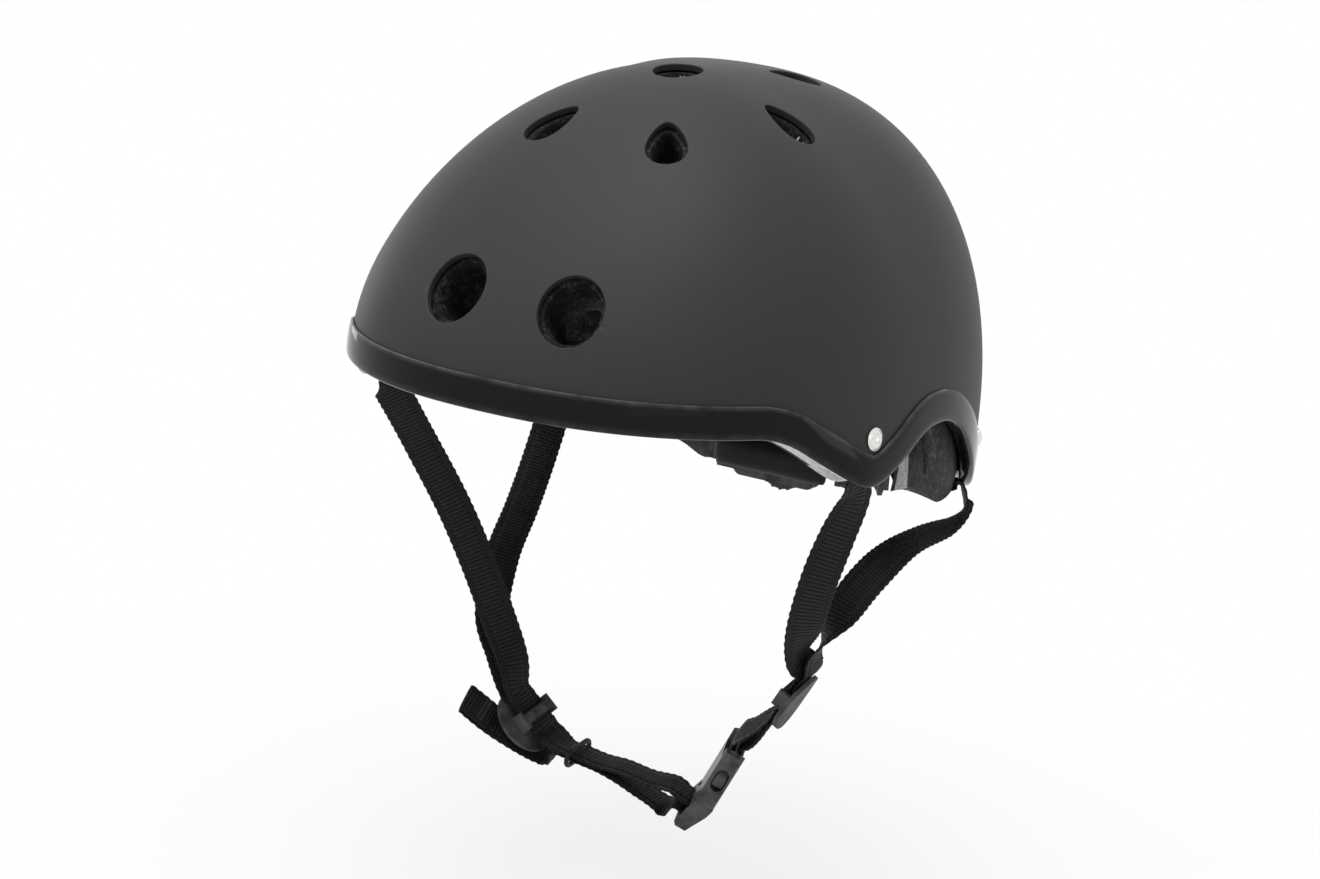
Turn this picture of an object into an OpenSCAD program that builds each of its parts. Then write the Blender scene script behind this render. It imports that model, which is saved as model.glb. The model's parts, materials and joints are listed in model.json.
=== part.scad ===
// Bicycle helmet of the round skate pattern: a moulded shell with eleven vents over a foam liner,
// a gloss edge trim, comfort pads, a rear fit cradle drawn in by a dial, and V straps that meet
// in dividers and close with a side-release buckle.
// Millimetres. +Z is up, -Y is the front and +X is the wearer's left.
// The origin is the middle of the head opening, at the level of the brow edge.

/* [Shell] */
// Reach of the shell forwards of the origin
shell_front = 139; // [128:1:150]
// Reach of the shell rearwards of the origin
shell_rear = 143; // [132:1:154]
// Half width of the shell at its widest level
shell_half_w = 117.5; // [108:0.5:128]
// Height of the crown above the brow edge
crown_h = 117; // [108:1:128]
// Depth of the widest level under the brow edge
widest_drop = 18; // [14:1:22]
// Wall of the moulded shell
shell_wall = 2.6; // [2:0.1:3.4]
// How far the front draws in towards the brow edge
front_tuck = 3.4; // [0:0.2:5]
// Height over the brow edge where it starts to draw in
tuck_h = 38; // [30:1:46]
// Roundness of the front profile, 2 is an ellipse
front_full = 1.71; // [1.6:0.01:2.2]
// Roundness of the side profile
side_full = 1.97; // [1.8:0.01:2.3]
// Roundness of the rear profile
rear_full = 2.79; // [2.2:0.01:3]
// Roundness of the outline seen from above
plan_full = 2.28; // [2:0.01:2.5]

/* [Rim] */
// Azimuth of the temple tab's tip, from the front
temple_az = 71; // [67:1:75]
// Depth of the temple tab under the brow edge
temple_drop = 21.6; // [16:0.1:27]
// Fall of the tab's flanks for each degree of azimuth
tab_slope = 1.25; // [1:0.05:1.5]
// Rounding of the tab's tip, in degrees of azimuth
tab_round = 4; // [3:0.5:6]
// Depth of the ear notch's top under the brow edge
ear_drop = 4.2; // [2:0.1:8]
// Azimuth where the rim starts down to the nape
nape_start = 95.5; // [92:0.5:98]
// Azimuth where the rim reaches the nape
nape_end = 137; // [130:1:145]
// Depth of the nape edge under the brow edge
nape_drop = 49; // [42:1:56]

/* [Vents] */
// Radius of the round front and rear vents
vent_r = 14; // [11:0.5:15]
// Azimuth of the front pair, either side of the middle
front_vent_az = 12; // [11:0.5:15]
// Height of the front pair over the brow edge
front_vent_h = 38.4; // [34:0.2:44]
// Azimuth of the rear pair, either side of the middle
rear_vent_az = 13; // [12:0.5:16]
// Height of the rear pair over the brow edge
rear_vent_h = 44; // [38:1:50]
// Radius of the vent on the crown
crown_vent_r = 10.5; // [8:0.5:12]
// Half width of the ring of six drop-shaped vents
ring_half_w = 51; // [46:1:56]
// Half length of that ring
ring_half_l = 56; // [50:1:62]
// How far the ring's middle lies forwards of the origin
ring_forward = 11; // [4:1:16]
// Length of a drop-shaped vent, towards the crown
drop_l = 24; // [20:0.5:27]
// Width of a drop-shaped vent
drop_w = 15; // [12:0.2:17]
// Width of the slope round a vent
vent_slope = 1.6; // [0.8:0.1:2.2]
// Ledge of foam left inside each vent
vent_ledge = 2.5; // [1.5:0.1:3.5]

/* [Edge trim] */
// Height of the trim's outer leg
trim_h = 10.8; // [8:0.2:12]
// Height of its inner leg
trim_inner_h = 5; // [4:0.5:6]
// Thickness of its outer leg
trim_t = 1.3; // [1:0.1:2]
// Thickness of its inner leg
trim_inner_t = 1.2; // [0.9:0.1:1.4]

/* [Foam liner] */
// Thickness of the foam
liner_t = 25; // [21:0.5:28]
// Gap between shell and foam
liner_gap = 0.8; // [0.6:0.1:1]
// Depth of the rebate that clears the trim's inner leg
rebate_t = 1.9; // [1.6:0.1:2.2]
// Azimuth of the front face of the liner's rear block
block_az = 92; // [89:0.5:94]
// Depth of the rear block's front corner under the brow edge
block_drop = 30; // [24:1:34]
// Azimuth where that face meets the liner's inner skin
block_inner_az = 125; // [118:1:130]
// Depth of the liner's inner edge at the temples under the brow edge
inner_drop = 32; // [28:1:36]
// Depth of the liner's rear edge under the brow edge
liner_drop = 46.5; // [40:0.5:47.5]
// Width of the strap pockets in the liner
pocket_w = 23; // [19:0.5:25]
// Depth of the strap pockets from the liner's outer skin
pocket_t = 7; // [6:0.5:8]

/* [Comfort pads] */
// Thickness of a pad at its crown
pad_t = 9; // [6:0.5:11]
// Thickness of a pad at its edge
pad_edge_t = 2.4; // [1.6:0.2:4]
// Thickness of the hook patch behind a pad
patch_t = 0.8; // [0.6:0.1:1.2]

/* [Rivets] */
// Radius of a rivet's domed head
rivet_r = 4.4; // [3.5:0.1:4.8]
// Height of the dome
rivet_h = 2.3; // [1.6:0.1:3]
// Radius of a rivet's shank
shank_r = 1.8; // [1.4:0.1:2.2]
// Radius of the washer inside
washer_r = 5; // [4.4:0.1:5.6]
// Depth of the front rivets under the brow edge
front_rivet_drop = 4.8; // [3:0.2:5.2]
// Azimuth of the rear rivets
rear_rivet_az = 129; // [127:1:132]
// Depth of the rear rivets under the brow edge
rear_rivet_drop = 27; // [24:0.5:27.5]

/* [Fit cradle] */
// Distance of the cradle's casing behind the origin
cradle_y = 103; // [100:0.5:104]
// Depth of the dial's axis under the brow edge
dial_drop = 63; // [62.5:0.5:68]
// Half length of the casing
casing_half_l = 20; // [18.5:0.5:24]
// Wall of the casing
casing_wall = 1.4; // [1.2:0.1:2]
// Radius of the dial's rim
dial_r = 12.3; // [10:0.1:12.4]
// Thickness of the dial
dial_t = 8; // [6:0.5:10]
// Ribs round the dial
dial_ribs = 20; // [12:1:28]
// Tooth module of pinion and racks
tooth_module = 0.7; // [0.6:0.05:0.8]
// Teeth of the pinion
pinion_teeth = 10; // [10:2:12]
// Thickness of pinion and racks
rack_t = 2.6; // [2:0.1:3]
// Travel of each rack either way
rack_travel = 8; // [5:0.5:8.5]
// Width of the cradle's band
band_w = 11; // [9:0.5:12]
// Thickness of the cradle's band
band_t = 1.8; // [1.2:0.1:2.4]
// Radius of the dial's axle
axle_r = 1.3; // [1:0.05:1.5]

/* [Straps] */
// Width of the webbing
web_w = 15; // [13:0.5:15.5]
// Thickness of the webbing
web_t = 1.3; // [1:0.1:1.5]
// Gap between two layers of webbing
web_gap = 0.3; // [0.2:0.05:0.4]
// Length of a strap divider
divider_l = 28; // [26:1:30]
// Width of a strap divider
divider_w = 24; // [22:0.5:26]
// Thickness of a divider's wing
divider_t = 1.8; // [1.4:0.1:2.4]
// Thickness of the keeper ring's rubber
ring_t = 2; // [1.6:0.1:2.4]

/* [Buckle] */
// Length of the socket half
socket_l = 26; // [24:0.5:30]
// Width of the buckle
buckle_w = 24; // [22.5:0.5:26]
// Thickness of the buckle
buckle_t = 8.4; // [7.6:0.2:9.6]
// Wall of the socket
socket_wall = 1.5; // [1.2:0.1:1.8]
// Length of the plug's foot outside the socket
foot_l = 14; // [13:0.5:17]
// Radius of the bars that the webbing turns round
bar_r = 1.3; // [1:0.05:1.6]
// Length of the two prongs
prong_l = 20; // [18:0.5:20.5]

/* [Hidden] */

shell_colour = [0.24, 0.24, 0.245];
gloss_colour = [0.06, 0.06, 0.065];
foam_colour = [0.2, 0.2, 0.2];
web_colour = [0.09, 0.09, 0.095];
plastic_colour = [0.13, 0.13, 0.135];
metal_colour = [0.8, 0.79, 0.76];
pad_colour = [0.16, 0.16, 0.17];

// running clearance of pins, play between moving pieces, and the seats of pieces that only touch
pin_play = 0.05;
play = 0.3;
seat = 0.3;
snug = 0.2;
leg_seat = 0.4;
web_seat = 1.2;
round_fn = 48;
shell_rows = 12;
liner_rows = 12;

// Azimuths of the skin's columns: even steps at the brow and the nape, finer ones round the ear
brow_end = 45;
ear_end = 130;
half_ring = concat([for (i = [0:6]) brow_end * i / 7],
    [for (i = [0:12]) brow_end + (block_az - brow_end) * i / 12], [block_az + 1.2],
    [for (i = [1:10]) block_az + (ear_end - block_az) * i / 11],
    [for (i = [0:7]) ear_end + (180 - ear_end) * i / 7]);
columns = concat(half_ring, [for (i = [len(half_ring) - 2:-1:1]) 360 - half_ring[i]]);

function fold(a) = abs(a) > 180 ? 360 - abs(a) : abs(a);
function sign_of(x) = x < 0 ? -1 : 1;
function unit(v) = v / norm(v);
function ease(t) = t <= 0 ? 0 : t >= 1 ? 1 : (1 - cos(180 * t)) / 2;
function blend(a, b, k) = let (h = max(0,
    min(1, 0.5 + 0.5 * (b - a) / k))) b * (1 - h) + a * h - k * h * (1 - h);
function basis(o, x, y, z) = [[x[0], y[0], z[0], o[0]], [x[1], y[1], z[1], o[1]], [x[2], y[2], z[2], o[2]],
    [0, 0, 0, 1]];

// The dome: azimuth u from the front, slope angle w from the widest level up to the crown,
// and depth d under the shell's outer skin.
function fullness(u) = pow(cos(u), 2) * (cos(u) > 0 ? front_full : rear_full) + pow(sin(u), 2) * side_full;
function plan_r(u, d) = pow(pow(abs(cos(u)) / ((cos(u) > 0 ? shell_front : shell_rear) - d), plan_full)
    + pow(abs(sin(u)) / (shell_half_w - d), plan_full), -1 / plan_full);
function dome_h(d) = crown_h + widest_drop - d;
function tuck(u, z) = front_tuck * pow(max(0, tuck_h - z) / tuck_h,
    2) * ease((temple_az + 1 - fold(u)) / 25);
function skin(u, w, d) = let (p = fullness(u), z = sign_of(w) * dome_h(d) * pow(abs(sin(w)),
    2 / p) - widest_drop,
    r = plan_r(u, d) * pow(cos(w), 2 / p) - tuck(u, z)) [r * sin(u), -r * cos(u), z];
function slope_at(u, z, d) = let (s = (z + widest_drop) / dome_h(d))
    sign_of(s) * asin(pow(abs(s), fullness(u) / 2));
function skin_at(u, z, d) = skin(u, slope_at(u, z, d), d);
function normal_at(u, z, d) = unit(cross(skin_at(u + 1, z, d) - skin_at(u - 1, z, d),
    skin_at(u, z + 1, d) - skin_at(u, z - 1, d)));

// The dome over a point of its plan, for the vents and pads near the crown.
function row_w(w, k) = w + (90 - w) * pow(k, 1.15);
function over(x, y, d) = let (u = atan2(x, -y), p = fullness(u), k = min(1, norm([x, y]) / plan_r(u, d)))
    [x, y, dome_h(d) * pow(1 - pow(k, p), 1 / p) - widest_drop];
function crown_normal(x, y, d) = unit(cross(over(x + 1, y, d) - over(x - 1, y, d),
    over(x, y + 1, d) - over(x, y - 1, d)));

// Height of the shell's rim: level brow, pointed temple tab, ear notch, and the fall to the nape.
function tab_z(u) = -temple_drop + tab_slope * (norm([u - temple_az, tab_round]) - tab_round);
function rim_z(a) = let (u = fold(a))
    blend(tab_z(u), u < temple_az ? 0 : -ear_drop,
        6) - (nape_drop - ear_drop) * ease((u - nape_start) / (nape_end - nape_start));

// The liner's outer edge follows the rim to the ear and then drops to its rear block. Its inner
// edge hangs lower, so that the foam's lower face slopes down towards the head. The columns of
// the inner skin lag behind the outer ones at the ear, which turns the block's front face away.
rim_inset = 1.4;
liner_inner = shell_wall + liner_gap + liner_t;
function outer_edge(a) = let (u = fold(a)) u <= block_az + 0.1 ? rim_z(u) + rim_inset
    : -liner_drop + (liner_drop - block_drop) * exp((block_az - u) / 7);
function inner_edge(a, b) = let (u = fold(a)) -7.1 - (inner_drop - 7.1) * ease((fold(b) - brow_end) / 41)
    - (u > block_az + 0.1 ? liner_drop + 3.5 - inner_drop : 0);
function lag(a) = let (u = fold(a)) (block_inner_az - block_az)
    * (u < block_az ? ease((u - 62) / (block_az - 62))
    : 1 - ease((u - block_az) / (180 - block_az)));
function lagged(a) = a > 180 ? a - lag(a) : a + lag(a);
function lean(a, z) = (a > 180 ? -6 : 6) * max(0, 1 - abs(fold(a) - block_az) / 24) * max(0,
    rim_z(a) - z) / 32;

// A closed skin from rings that all have the same number of points, with a point at either end.
function side_faces(n, m) = [for (r = [0:n - 2], i = [0:m - 1]) let (a = r * m + i, b = r * m + (i + 1) % m)
    each [[a, a + m, b + m], [a, b + m, b]]];
module domed(rings, first, last) {
    n = len(rings);
    m = len(rings[0]);
    polyhedron(points = concat([for (r = rings) each r], [first, last]), faces = concat(side_faces(n, m),
        [for (i = [0:m - 1]) [n * m, i, (i + 1) % m]],
        [for (i = [0:m - 1]) [(n - 1) * m + i, n * m + 1, (n - 1) * m + (i + 1) % m]]), convexity = 6);
}

// A swept solid. Each ring runs out along one side and back along the other.
function cap_faces(o, m, flip) = [for (i = [0:m / 2 - 2]) let (a = o + i, b = o + i + 1, c = o + m - 2 - i,
    d = o + m - 1 - i)
    each (flip ? [[a, c, b], [a, d, c]] : [[a, b, c], [a, c, d]])];
module swept(rings) {
    n = len(rings);
    m = len(rings[0]);
    polyhedron(points = [for (r = rings) each r], faces = concat(side_faces(n, m), cap_faces(0, m, false),
        cap_faces((n - 1) * m, m, true)), convexity = 6);
}
module swept_round(rings) {
    n = len(rings);
    m = len(rings[0]);
    polyhedron(points = [for (r = rings) each r], faces = concat(side_faces(n, m),
        [for (i = [0:m - 1]) let (a = (n - 1) * m + i, b = (n - 1) * m + (i + 1) % m)
            each [[a, i, (i + 1) % m], [a, (i + 1) % m, b]]]),
        convexity = 6);
}

// Vents: a round or drop-shaped cutter that stands on the dome, its local x towards the crown.
function frame_on(p, n, up) = let (x = unit(up - n * (up * n))) basis(p, x, cross(n, x), n);
function round_vent(az, h) = frame_on(skin_at(az, h, 0), normal_at(az, h, 0), [0, 0, 1]);
function ring_vent(k) = let (a = 30 + 60 * k, x = ring_half_w * sin(a),
    y = -ring_forward - ring_half_l * cos(a))
    frame_on(over(x, y, 0), crown_normal(x, y, 0), [-x, -ring_forward - y, 0]);
crown_vent = frame_on(over(0, -ring_forward, 0), crown_normal(0, -ring_forward, 0), [0, 1, 0]);
module drop_outline(inset) {
    polygon([for (i = [0:31]) let (a = 360 * i / 32)
        [(drop_l / 2 - inset) * cos(a), (drop_w / 2 - inset) * sin(a) * (1 - 0.34 * cos(a))]]);
}
module vent_cuts(inset, depth, slope) {
    for (s = [-1, 1]) {
        multmatrix(round_vent(s * front_vent_az, front_vent_h)) round_cut(vent_r, inset, depth, slope);
        multmatrix(round_vent(180 + s * rear_vent_az, rear_vent_h)) round_cut(vent_r, inset, depth, slope);
    }
    multmatrix(crown_vent) round_cut(crown_vent_r, inset, depth, slope);
    for (k = [0:5]) multmatrix(ring_vent(k)) translate([0, 0,
        -depth]) linear_extrude(depth + 6) drop_outline(inset);
}
module round_cut(r, inset, depth, slope) {
    translate([0, 0, -depth]) cylinder(r = r - inset - (slope > 0 ? slope * 0.6 : 0), h = depth + 6,
        $fn = round_fn);
    if (slope > 0) translate([0, 0, -slope]) cylinder(r1 = r - slope * 0.6, r2 = r + slope * 1.4,
        h = slope * 2, $fn = round_fn);
}

// Rivets stand on the shell; their local z points outwards and local x up.
function rivet_frame(a, z) = frame_on(skin_at(a, z, 0), normal_at(a, z, 0), [0, 0, 1]);
rivets = [for (s = [-1, 1]) each [[s * temple_az, -front_rivet_drop],
    [s * rear_rivet_az, -rear_rivet_drop]]];
// depths below the shell's outer skin: the webbing's middle and the washer under it
web_depth = shell_wall + web_seat + web_t / 2;
washer_t = 0.8;
tail_depth = web_depth + web_t / 2 + pin_play + washer_t + pin_play;
tail_t = 0.9;

module outer_shell() {
    outer = [for (j = [0:shell_rows - 1]) [for (a = columns) let (w = slope_at(a, rim_z(a), 0))
        skin(a, row_w(w, j / shell_rows), 0)]];
    inner = [for (j = [shell_rows - 1:-1:0]) [for (a = columns) let (w = slope_at(a, rim_z(a), shell_wall))
        skin(a, row_w(w, j / shell_rows), shell_wall)]];
    color(shell_colour) difference() {
        domed(concat(inner, outer), [0, 0, crown_h - shell_wall], [0, 0, crown_h]);
        vent_cuts(0, 12, vent_slope);
        for (r = rivets) multmatrix(rivet_frame(r[0], r[1])) translate([0, 0,
            -8]) cylinder(r = shank_r + pin_play, h = 12, $fn = round_fn);
    }
}

// The trim's section: a is outwards from the shell's skin and b is up from the rim.
trim_section = [[snug, trim_h], [snug + trim_t * 0.5, trim_h + 0.2], [snug + trim_t * 0.95, trim_h - 0.6],
    [snug + trim_t, trim_h * 0.5], [snug + trim_t, 0.4], [snug + trim_t * 0.6, -1.1],
        [-0.6, -snug - trim_t],
    [-shell_wall - leg_seat - trim_inner_t * 0.5, -snug - trim_t],
        [-shell_wall - leg_seat - trim_inner_t, -0.6],
    [-shell_wall - leg_seat - trim_inner_t, trim_inner_h], [-shell_wall - leg_seat, trim_inner_h],
    [-shell_wall - leg_seat, -snug], [snug, -snug], [snug, trim_h * 0.5]];
function along_rim(a) = let (p = skin_at(a + 1, rim_z(a + 1), 0) - skin_at(a - 1, rim_z(a - 1), 0),
    s = norm([p[0], p[1]])) unit([s, p[2]]);
function trim_ring(a) = let (t = along_rim(a), mm = plan_r(a, 0) * PI / 180)
    [for (q = trim_section) skin_at(a - t[1] * q[1] / mm, rim_z(a) + t[0] * q[1], -q[0])];
module edge_trim() {
    color(gloss_colour) swept_round([for (a = columns) trim_ring(a)]);
}

module foam_liner() {
    d0 = shell_wall + liner_gap;
    top = trim_inner_h + 2.5;
    outer = concat([for (k = [0, 0.5, 1])
        [for (a = columns) let (z = outer_edge(a) * (1 - k) + (rim_z(a) + top) * k)
            skin_at(a + lean(a, z), z, d0 + rebate_t)]],
        [for (j = [0:liner_rows - 1]) [for (a = columns) let (w = slope_at(a, rim_z(a) + top + 2, d0))
            skin(a, w + (90 - w) * j / liner_rows, d0)]]);
    inner = [for (j = [liner_rows + 1:-1:0]) [for (c = columns) let (a = lagged(c),
        w = slope_at(a, inner_edge(c, a), liner_inner))
        skin(a, row_w(w, j / (liner_rows + 2)), liner_inner)]];
    color(foam_colour) difference() {
        domed(concat(inner, outer), [0, 0, crown_h - liner_inner], [0, 0, crown_h - d0]);
        vent_cuts(vent_ledge, 60, 0);
        for (r = rivets) multmatrix(rivet_frame(r[0], r[1]))
            translate([-60, -pocket_w / 2, -d0 - pocket_t]) cube([70, pocket_w, pocket_t + 6]);
    }
}

module rivet(r) {
    multmatrix(rivet_frame(r[0], r[1])) {
        head_r = (pow(rivet_r, 2) + pow(rivet_h, 2)) / (2 * rivet_h);
        translate([0, 0, 0.2]) intersection() {
            translate([0, 0, rivet_h - head_r]) sphere(r = head_r, $fn = round_fn);
            cylinder(r = rivet_r, h = rivet_h + 1, $fn = round_fn);
        }
        translate([0, 0, -tail_depth - tail_t]) cylinder(r = shank_r, h = tail_depth + tail_t + 0.4,
            $fn = round_fn);
        translate([0, 0, -tail_depth - tail_t]) cylinder(r = shank_r * 1.7, h = tail_t, $fn = round_fn);
    }
}
module front_rivets() {
    color(metal_colour) for (i = [0, 2]) rivet(rivets[i]);
}
module rear_rivets() {
    color(metal_colour) for (i = [1, 3]) rivet(rivets[i]);
}
module rivet_washers() {
    color(metal_colour) for (r = rivets) multmatrix(rivet_frame(r[0], r[1]))
        translate([0, 0, -tail_depth + pin_play]) difference() {
            cylinder(r = washer_r, h = washer_t, $fn = round_fn);
            translate([0, 0, -1]) cylinder(r = shank_r + pin_play, h = 3, $fn = round_fn);
        }
}

// Comfort pads: patches of the liner's inner skin with a crown and thin edges.
function crown_of(s, t) = pad_edge_t + (pad_t - pad_edge_t) * (1 - pow(2 * s - 1, 4)) * (1 - pow(2 * t - 1,
    4));
patch_seat = liner_inner + 0.5;
pad_seat = patch_seat + patch_t + 0.3;
pad_cols = 12;
pad_rows = 5;
module skin_pad(u0, u1, z0, z1) {
    swept([for (i = [0:pad_cols]) let (s = i / pad_cols, u = u0 + (u1 - u0) * s) concat(
        [for (j = [pad_rows:-1:0]) skin_at(u, z0 + (z1 - z0) * j / pad_rows, pad_seat)],
        [for (j = [0:pad_rows]) skin_at(u, z0 + (z1 - z0) * j / pad_rows,
            pad_seat + crown_of(s, j / pad_rows))])]);
}
module crown_pad(x0, x1, y0, y1) {
    swept([for (i = [0:pad_rows]) let (s = i / pad_rows, x = x0 + (x1 - x0) * s) concat(
        [for (j = [pad_cols:-1:0]) over(x, y0 + (y1 - y0) * j / pad_cols, pad_seat)],
        [for (j = [0:pad_cols]) over(x, y0 + (y1 - y0) * j / pad_cols,
            pad_seat + crown_of(s, j / pad_cols))])]);
}
module skin_patch(u0, u1, z0, z1) {
    n = 4;
    swept([for (i = [0:n]) let (u = u0 + (u1 - u0) * i / n) concat(
        [for (z = [z1, z0]) skin_at(u, z, patch_seat)],
        [for (z = [z0, z1]) skin_at(u, z, patch_seat + patch_t)])]);
}
module crown_patch(x0, x1, y0, y1) {
    n = 3;
    swept([for (i = [0:n]) let (x = x0 + (x1 - x0) * i / n) concat(
        [for (j = [n:-1:0]) over(x, y0 + (y1 - y0) * j / n, patch_seat)],
        [for (j = [0:n]) over(x, y0 + (y1 - y0) * j / n, patch_seat + patch_t)])]);
}
brow_pad = [-38, 38, -3, 22];
nape_pad = [156, 204, -12, 20];
ear_pad = [58, 108, 2, 34];
top_pad = [15, 37, -38, 16];
module front_pad() {
    color(pad_colour) skin_pad(brow_pad[0], brow_pad[1], brow_pad[2], brow_pad[3]);
}
module rear_pad() {
    color(pad_colour) skin_pad(nape_pad[0], nape_pad[1], nape_pad[2], nape_pad[3]);
}
module side_pad_left() {
    color(pad_colour) skin_pad(ear_pad[0], ear_pad[1], ear_pad[2], ear_pad[3]);
}
module side_pad_right() {
    color(pad_colour) skin_pad(-ear_pad[1], -ear_pad[0], ear_pad[2], ear_pad[3]);
}
module crown_pad_left() {
    color(pad_colour) crown_pad(top_pad[0], top_pad[1], top_pad[2], top_pad[3]);
}
module crown_pad_right() {
    color(pad_colour) crown_pad(-top_pad[1], -top_pad[0], top_pad[2], top_pad[3]);
}
module pad_patches() {
    color(gloss_colour) {
        for (u = [-26, 14]) skin_patch(u, u + 12, 4, 14);
        for (u = [163, 185]) skin_patch(u, u + 12, -2, 10);
        for (s = [-1, 1]) {
            skin_patch(s * 83 - 9, s * 83 + 9, 12, 24);
            crown_patch(s * 26 - 6, s * 26 + 6, -26, 2);
        }
    }
}

// Fit cradle. Layers from the head outwards: pad, casing wall, racks and pinion, cover, dial.
rack_y = cradle_y + casing_wall + 0.2;
cover_y = rack_y + rack_t + 0.3;
cover_t = 1.8;
dial_y = cover_y + cover_t + play;
dial_z = -dial_drop;
pitch_r = tooth_module * pinion_teeth / 2;
tooth_pitch = PI * tooth_module;
pressure = 25;
addendum = 0.8 * tooth_module;
dedendum = 1.1 * tooth_module;
backlash = 0.12;
rack_back = 2.4;
band_lift = 2;
channel_half_h = pitch_r + rack_back + play;
casing_half_h = channel_half_h + casing_wall;
boss_r = 2.6;
rack_reach = casing_half_l + rack_travel + 0.8;

module at_dial(y) {
    translate([0, y, dial_z]) rotate([-90, 0, 0]) children();
}
module cradle_casing() {
    color(plastic_colour) difference() {
        at_dial(cradle_y) linear_extrude(cover_y - cradle_y - 0.1) offset_rect(casing_half_l,
            casing_half_h, 4);
        at_dial(cradle_y + casing_wall) translate([-casing_half_l - 1, -channel_half_h, 0])
            cube([2 * casing_half_l + 2, 2 * channel_half_h, 10]);
        at_dial(cradle_y - 1) cylinder(r = axle_r + pin_play, h = 4, $fn = round_fn);
    }
}
module offset_rect(hx, hy, r) {
    polygon([for (c = [[1, 1, 0], [-1, 1, 90], [-1, -1, 180], [1, -1, 270]], i = [0:6])
        [c[0] * (hx - r), c[1] * (hy - r)] + r * [cos(c[2] + 15 * i), sin(c[2] + 15 * i)]]);
}
module cradle_cover() {
    color(plastic_colour) difference() {
        at_dial(cover_y) linear_extrude(cover_t) offset_rect(casing_half_l, casing_half_h, 4);
        at_dial(cover_y - 1) cylinder(r = boss_r + play, h = 5, $fn = round_fn);
    }
}
// The hanger comes up from the casing's top edge and lies on the liner's inner skin.
hanger_w = 18;
hanger_t = 1.6;
hanger_y = shell_rear - liner_inner - 0.9 - hanger_t / 2;
hanger_top = -18;
hanger_route = [[[0, cover_y - 2, dial_z + casing_half_h + 0.35], [1, 0, 0]],
    [[0, cover_y - 2, dial_z + casing_half_h + 2.5], [1, 0, 0]],
    [[0, (cover_y + hanger_y) / 2, -47.5], [1, 0, 0]], [[0, hanger_y - 1.3, -42], [1, 0, 0]],
    [[0, hanger_y - 0.3, -30], [1, 0, 0]], [[0, hanger_y, hanger_top], [1, 0, 0]]];
stud_r = 3;
module cradle_hanger() {
    color(plastic_colour) difference() {
        swept(web_rings(hanger_route, hanger_w, hanger_t, 2));
        for (x = [-5, 5]) translate([x, hanger_y - 3, hanger_top - 6]) rotate([-90, 0, 0])
            cylinder(r = 1.5 + pin_play, h = 6, $fn = round_fn);
    }
}
// Snap studs hold the hanger and the ends of the arms to the liner's inner skin.
arm_end_az = 141;
arm_stud_z = -30;
function arm_stud_frame(s) = let (a = 180 + s * (180 - arm_end_az))
    frame_on(skin_at(a, arm_stud_z, liner_inner), normal_at(a, arm_stud_z, liner_inner), [0, 0, 1]);
module cradle_studs() {
    color(plastic_colour) {
        for (x = [-5, 5]) translate([x, hanger_y - hanger_t / 2 - 0.35, hanger_top - 6]) rotate([90, 0,
            0]) stud(hanger_t + 0.6);
        for (s = [-1, 1]) multmatrix(arm_stud_frame(s)) rotate([180, 0, 0]) translate([0, 0,
            band_t + 1.15]) stud(band_t + 0.7);
    }
}
module stud(shank) {
    rotate_extrude($fn = round_fn) polygon([[0, -shank], [1.5, -shank], [1.5, 0], [stud_r, 0],
        [stud_r, 0.5], [stud_r * 0.6, 1.3], [0, 1.5]]);
}
module cradle_pad() {
    half = 27;
    half_h = 7;
    mid_z = dial_z + 3;
    cols = 12;
    rows = 5;
    back = cradle_y - seat;
    color(pad_colour) swept([for (i = [0:cols]) let (s = i / cols, x = half * (2 * s - 1),
        y = back - pow(x, 2) / 260) concat(
        [for (j = [0:rows]) [x, y, mid_z + half_h * (2 * j / rows - 1)]],
        [for (j = [rows:-1:0]) [x, y - crown_of(s, j / rows) * 0.75,
            mid_z + half_h * (2 * j / rows - 1)]])]);
}

// Racks: the left one lies over the pinion and the right one under it, which is the left one
// turned half a turn about the dial's axis.
module rack_shape(lift) {
    tooth_n = floor((rack_travel + 5) / tooth_pitch);
    half = tooth_pitch / 4 - backlash / 2;
    lean = tan(pressure);
    color(plastic_colour) at_dial(rack_y) mirror([0, 1, 0]) {
        linear_extrude(rack_t) polygon(concat([[rack_reach, pitch_r + rack_back],
            [-tooth_n * tooth_pitch, pitch_r + rack_back]],
            [for (k = [-tooth_n:tooth_n - 1]) let (c = (k + 0.5) * tooth_pitch) each [
                [c - half - dedendum * lean, pitch_r + dedendum],
                    [c - half + addendum * lean, pitch_r - addendum],
                [c + half - addendum * lean, pitch_r - addendum],
                    [c + half + dedendum * lean, pitch_r + dedendum]]],
            [[tooth_n * tooth_pitch, pitch_r + dedendum], [rack_reach, pitch_r + dedendum]]));
        translate([rack_reach - 0.01, lift - band_w / 2, 0]) cube([2.5, band_w, rack_t]);
        translate([rack_reach - 4, pitch_r + dedendum - 2, 0]) cube([4.5, 2.5, rack_t]);
    }
}
module rack_left() {
    rack_shape(band_lift);
}
module rack_right() {
    translate([0, 0, dial_z]) rotate([0, 180, 0]) translate([0, 0, -dial_z]) rack_shape(-band_lift);
}
function rolled(b, r) = let (c = acos(min(1, b / r))) tan(c) * 180 / PI - c;
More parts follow.
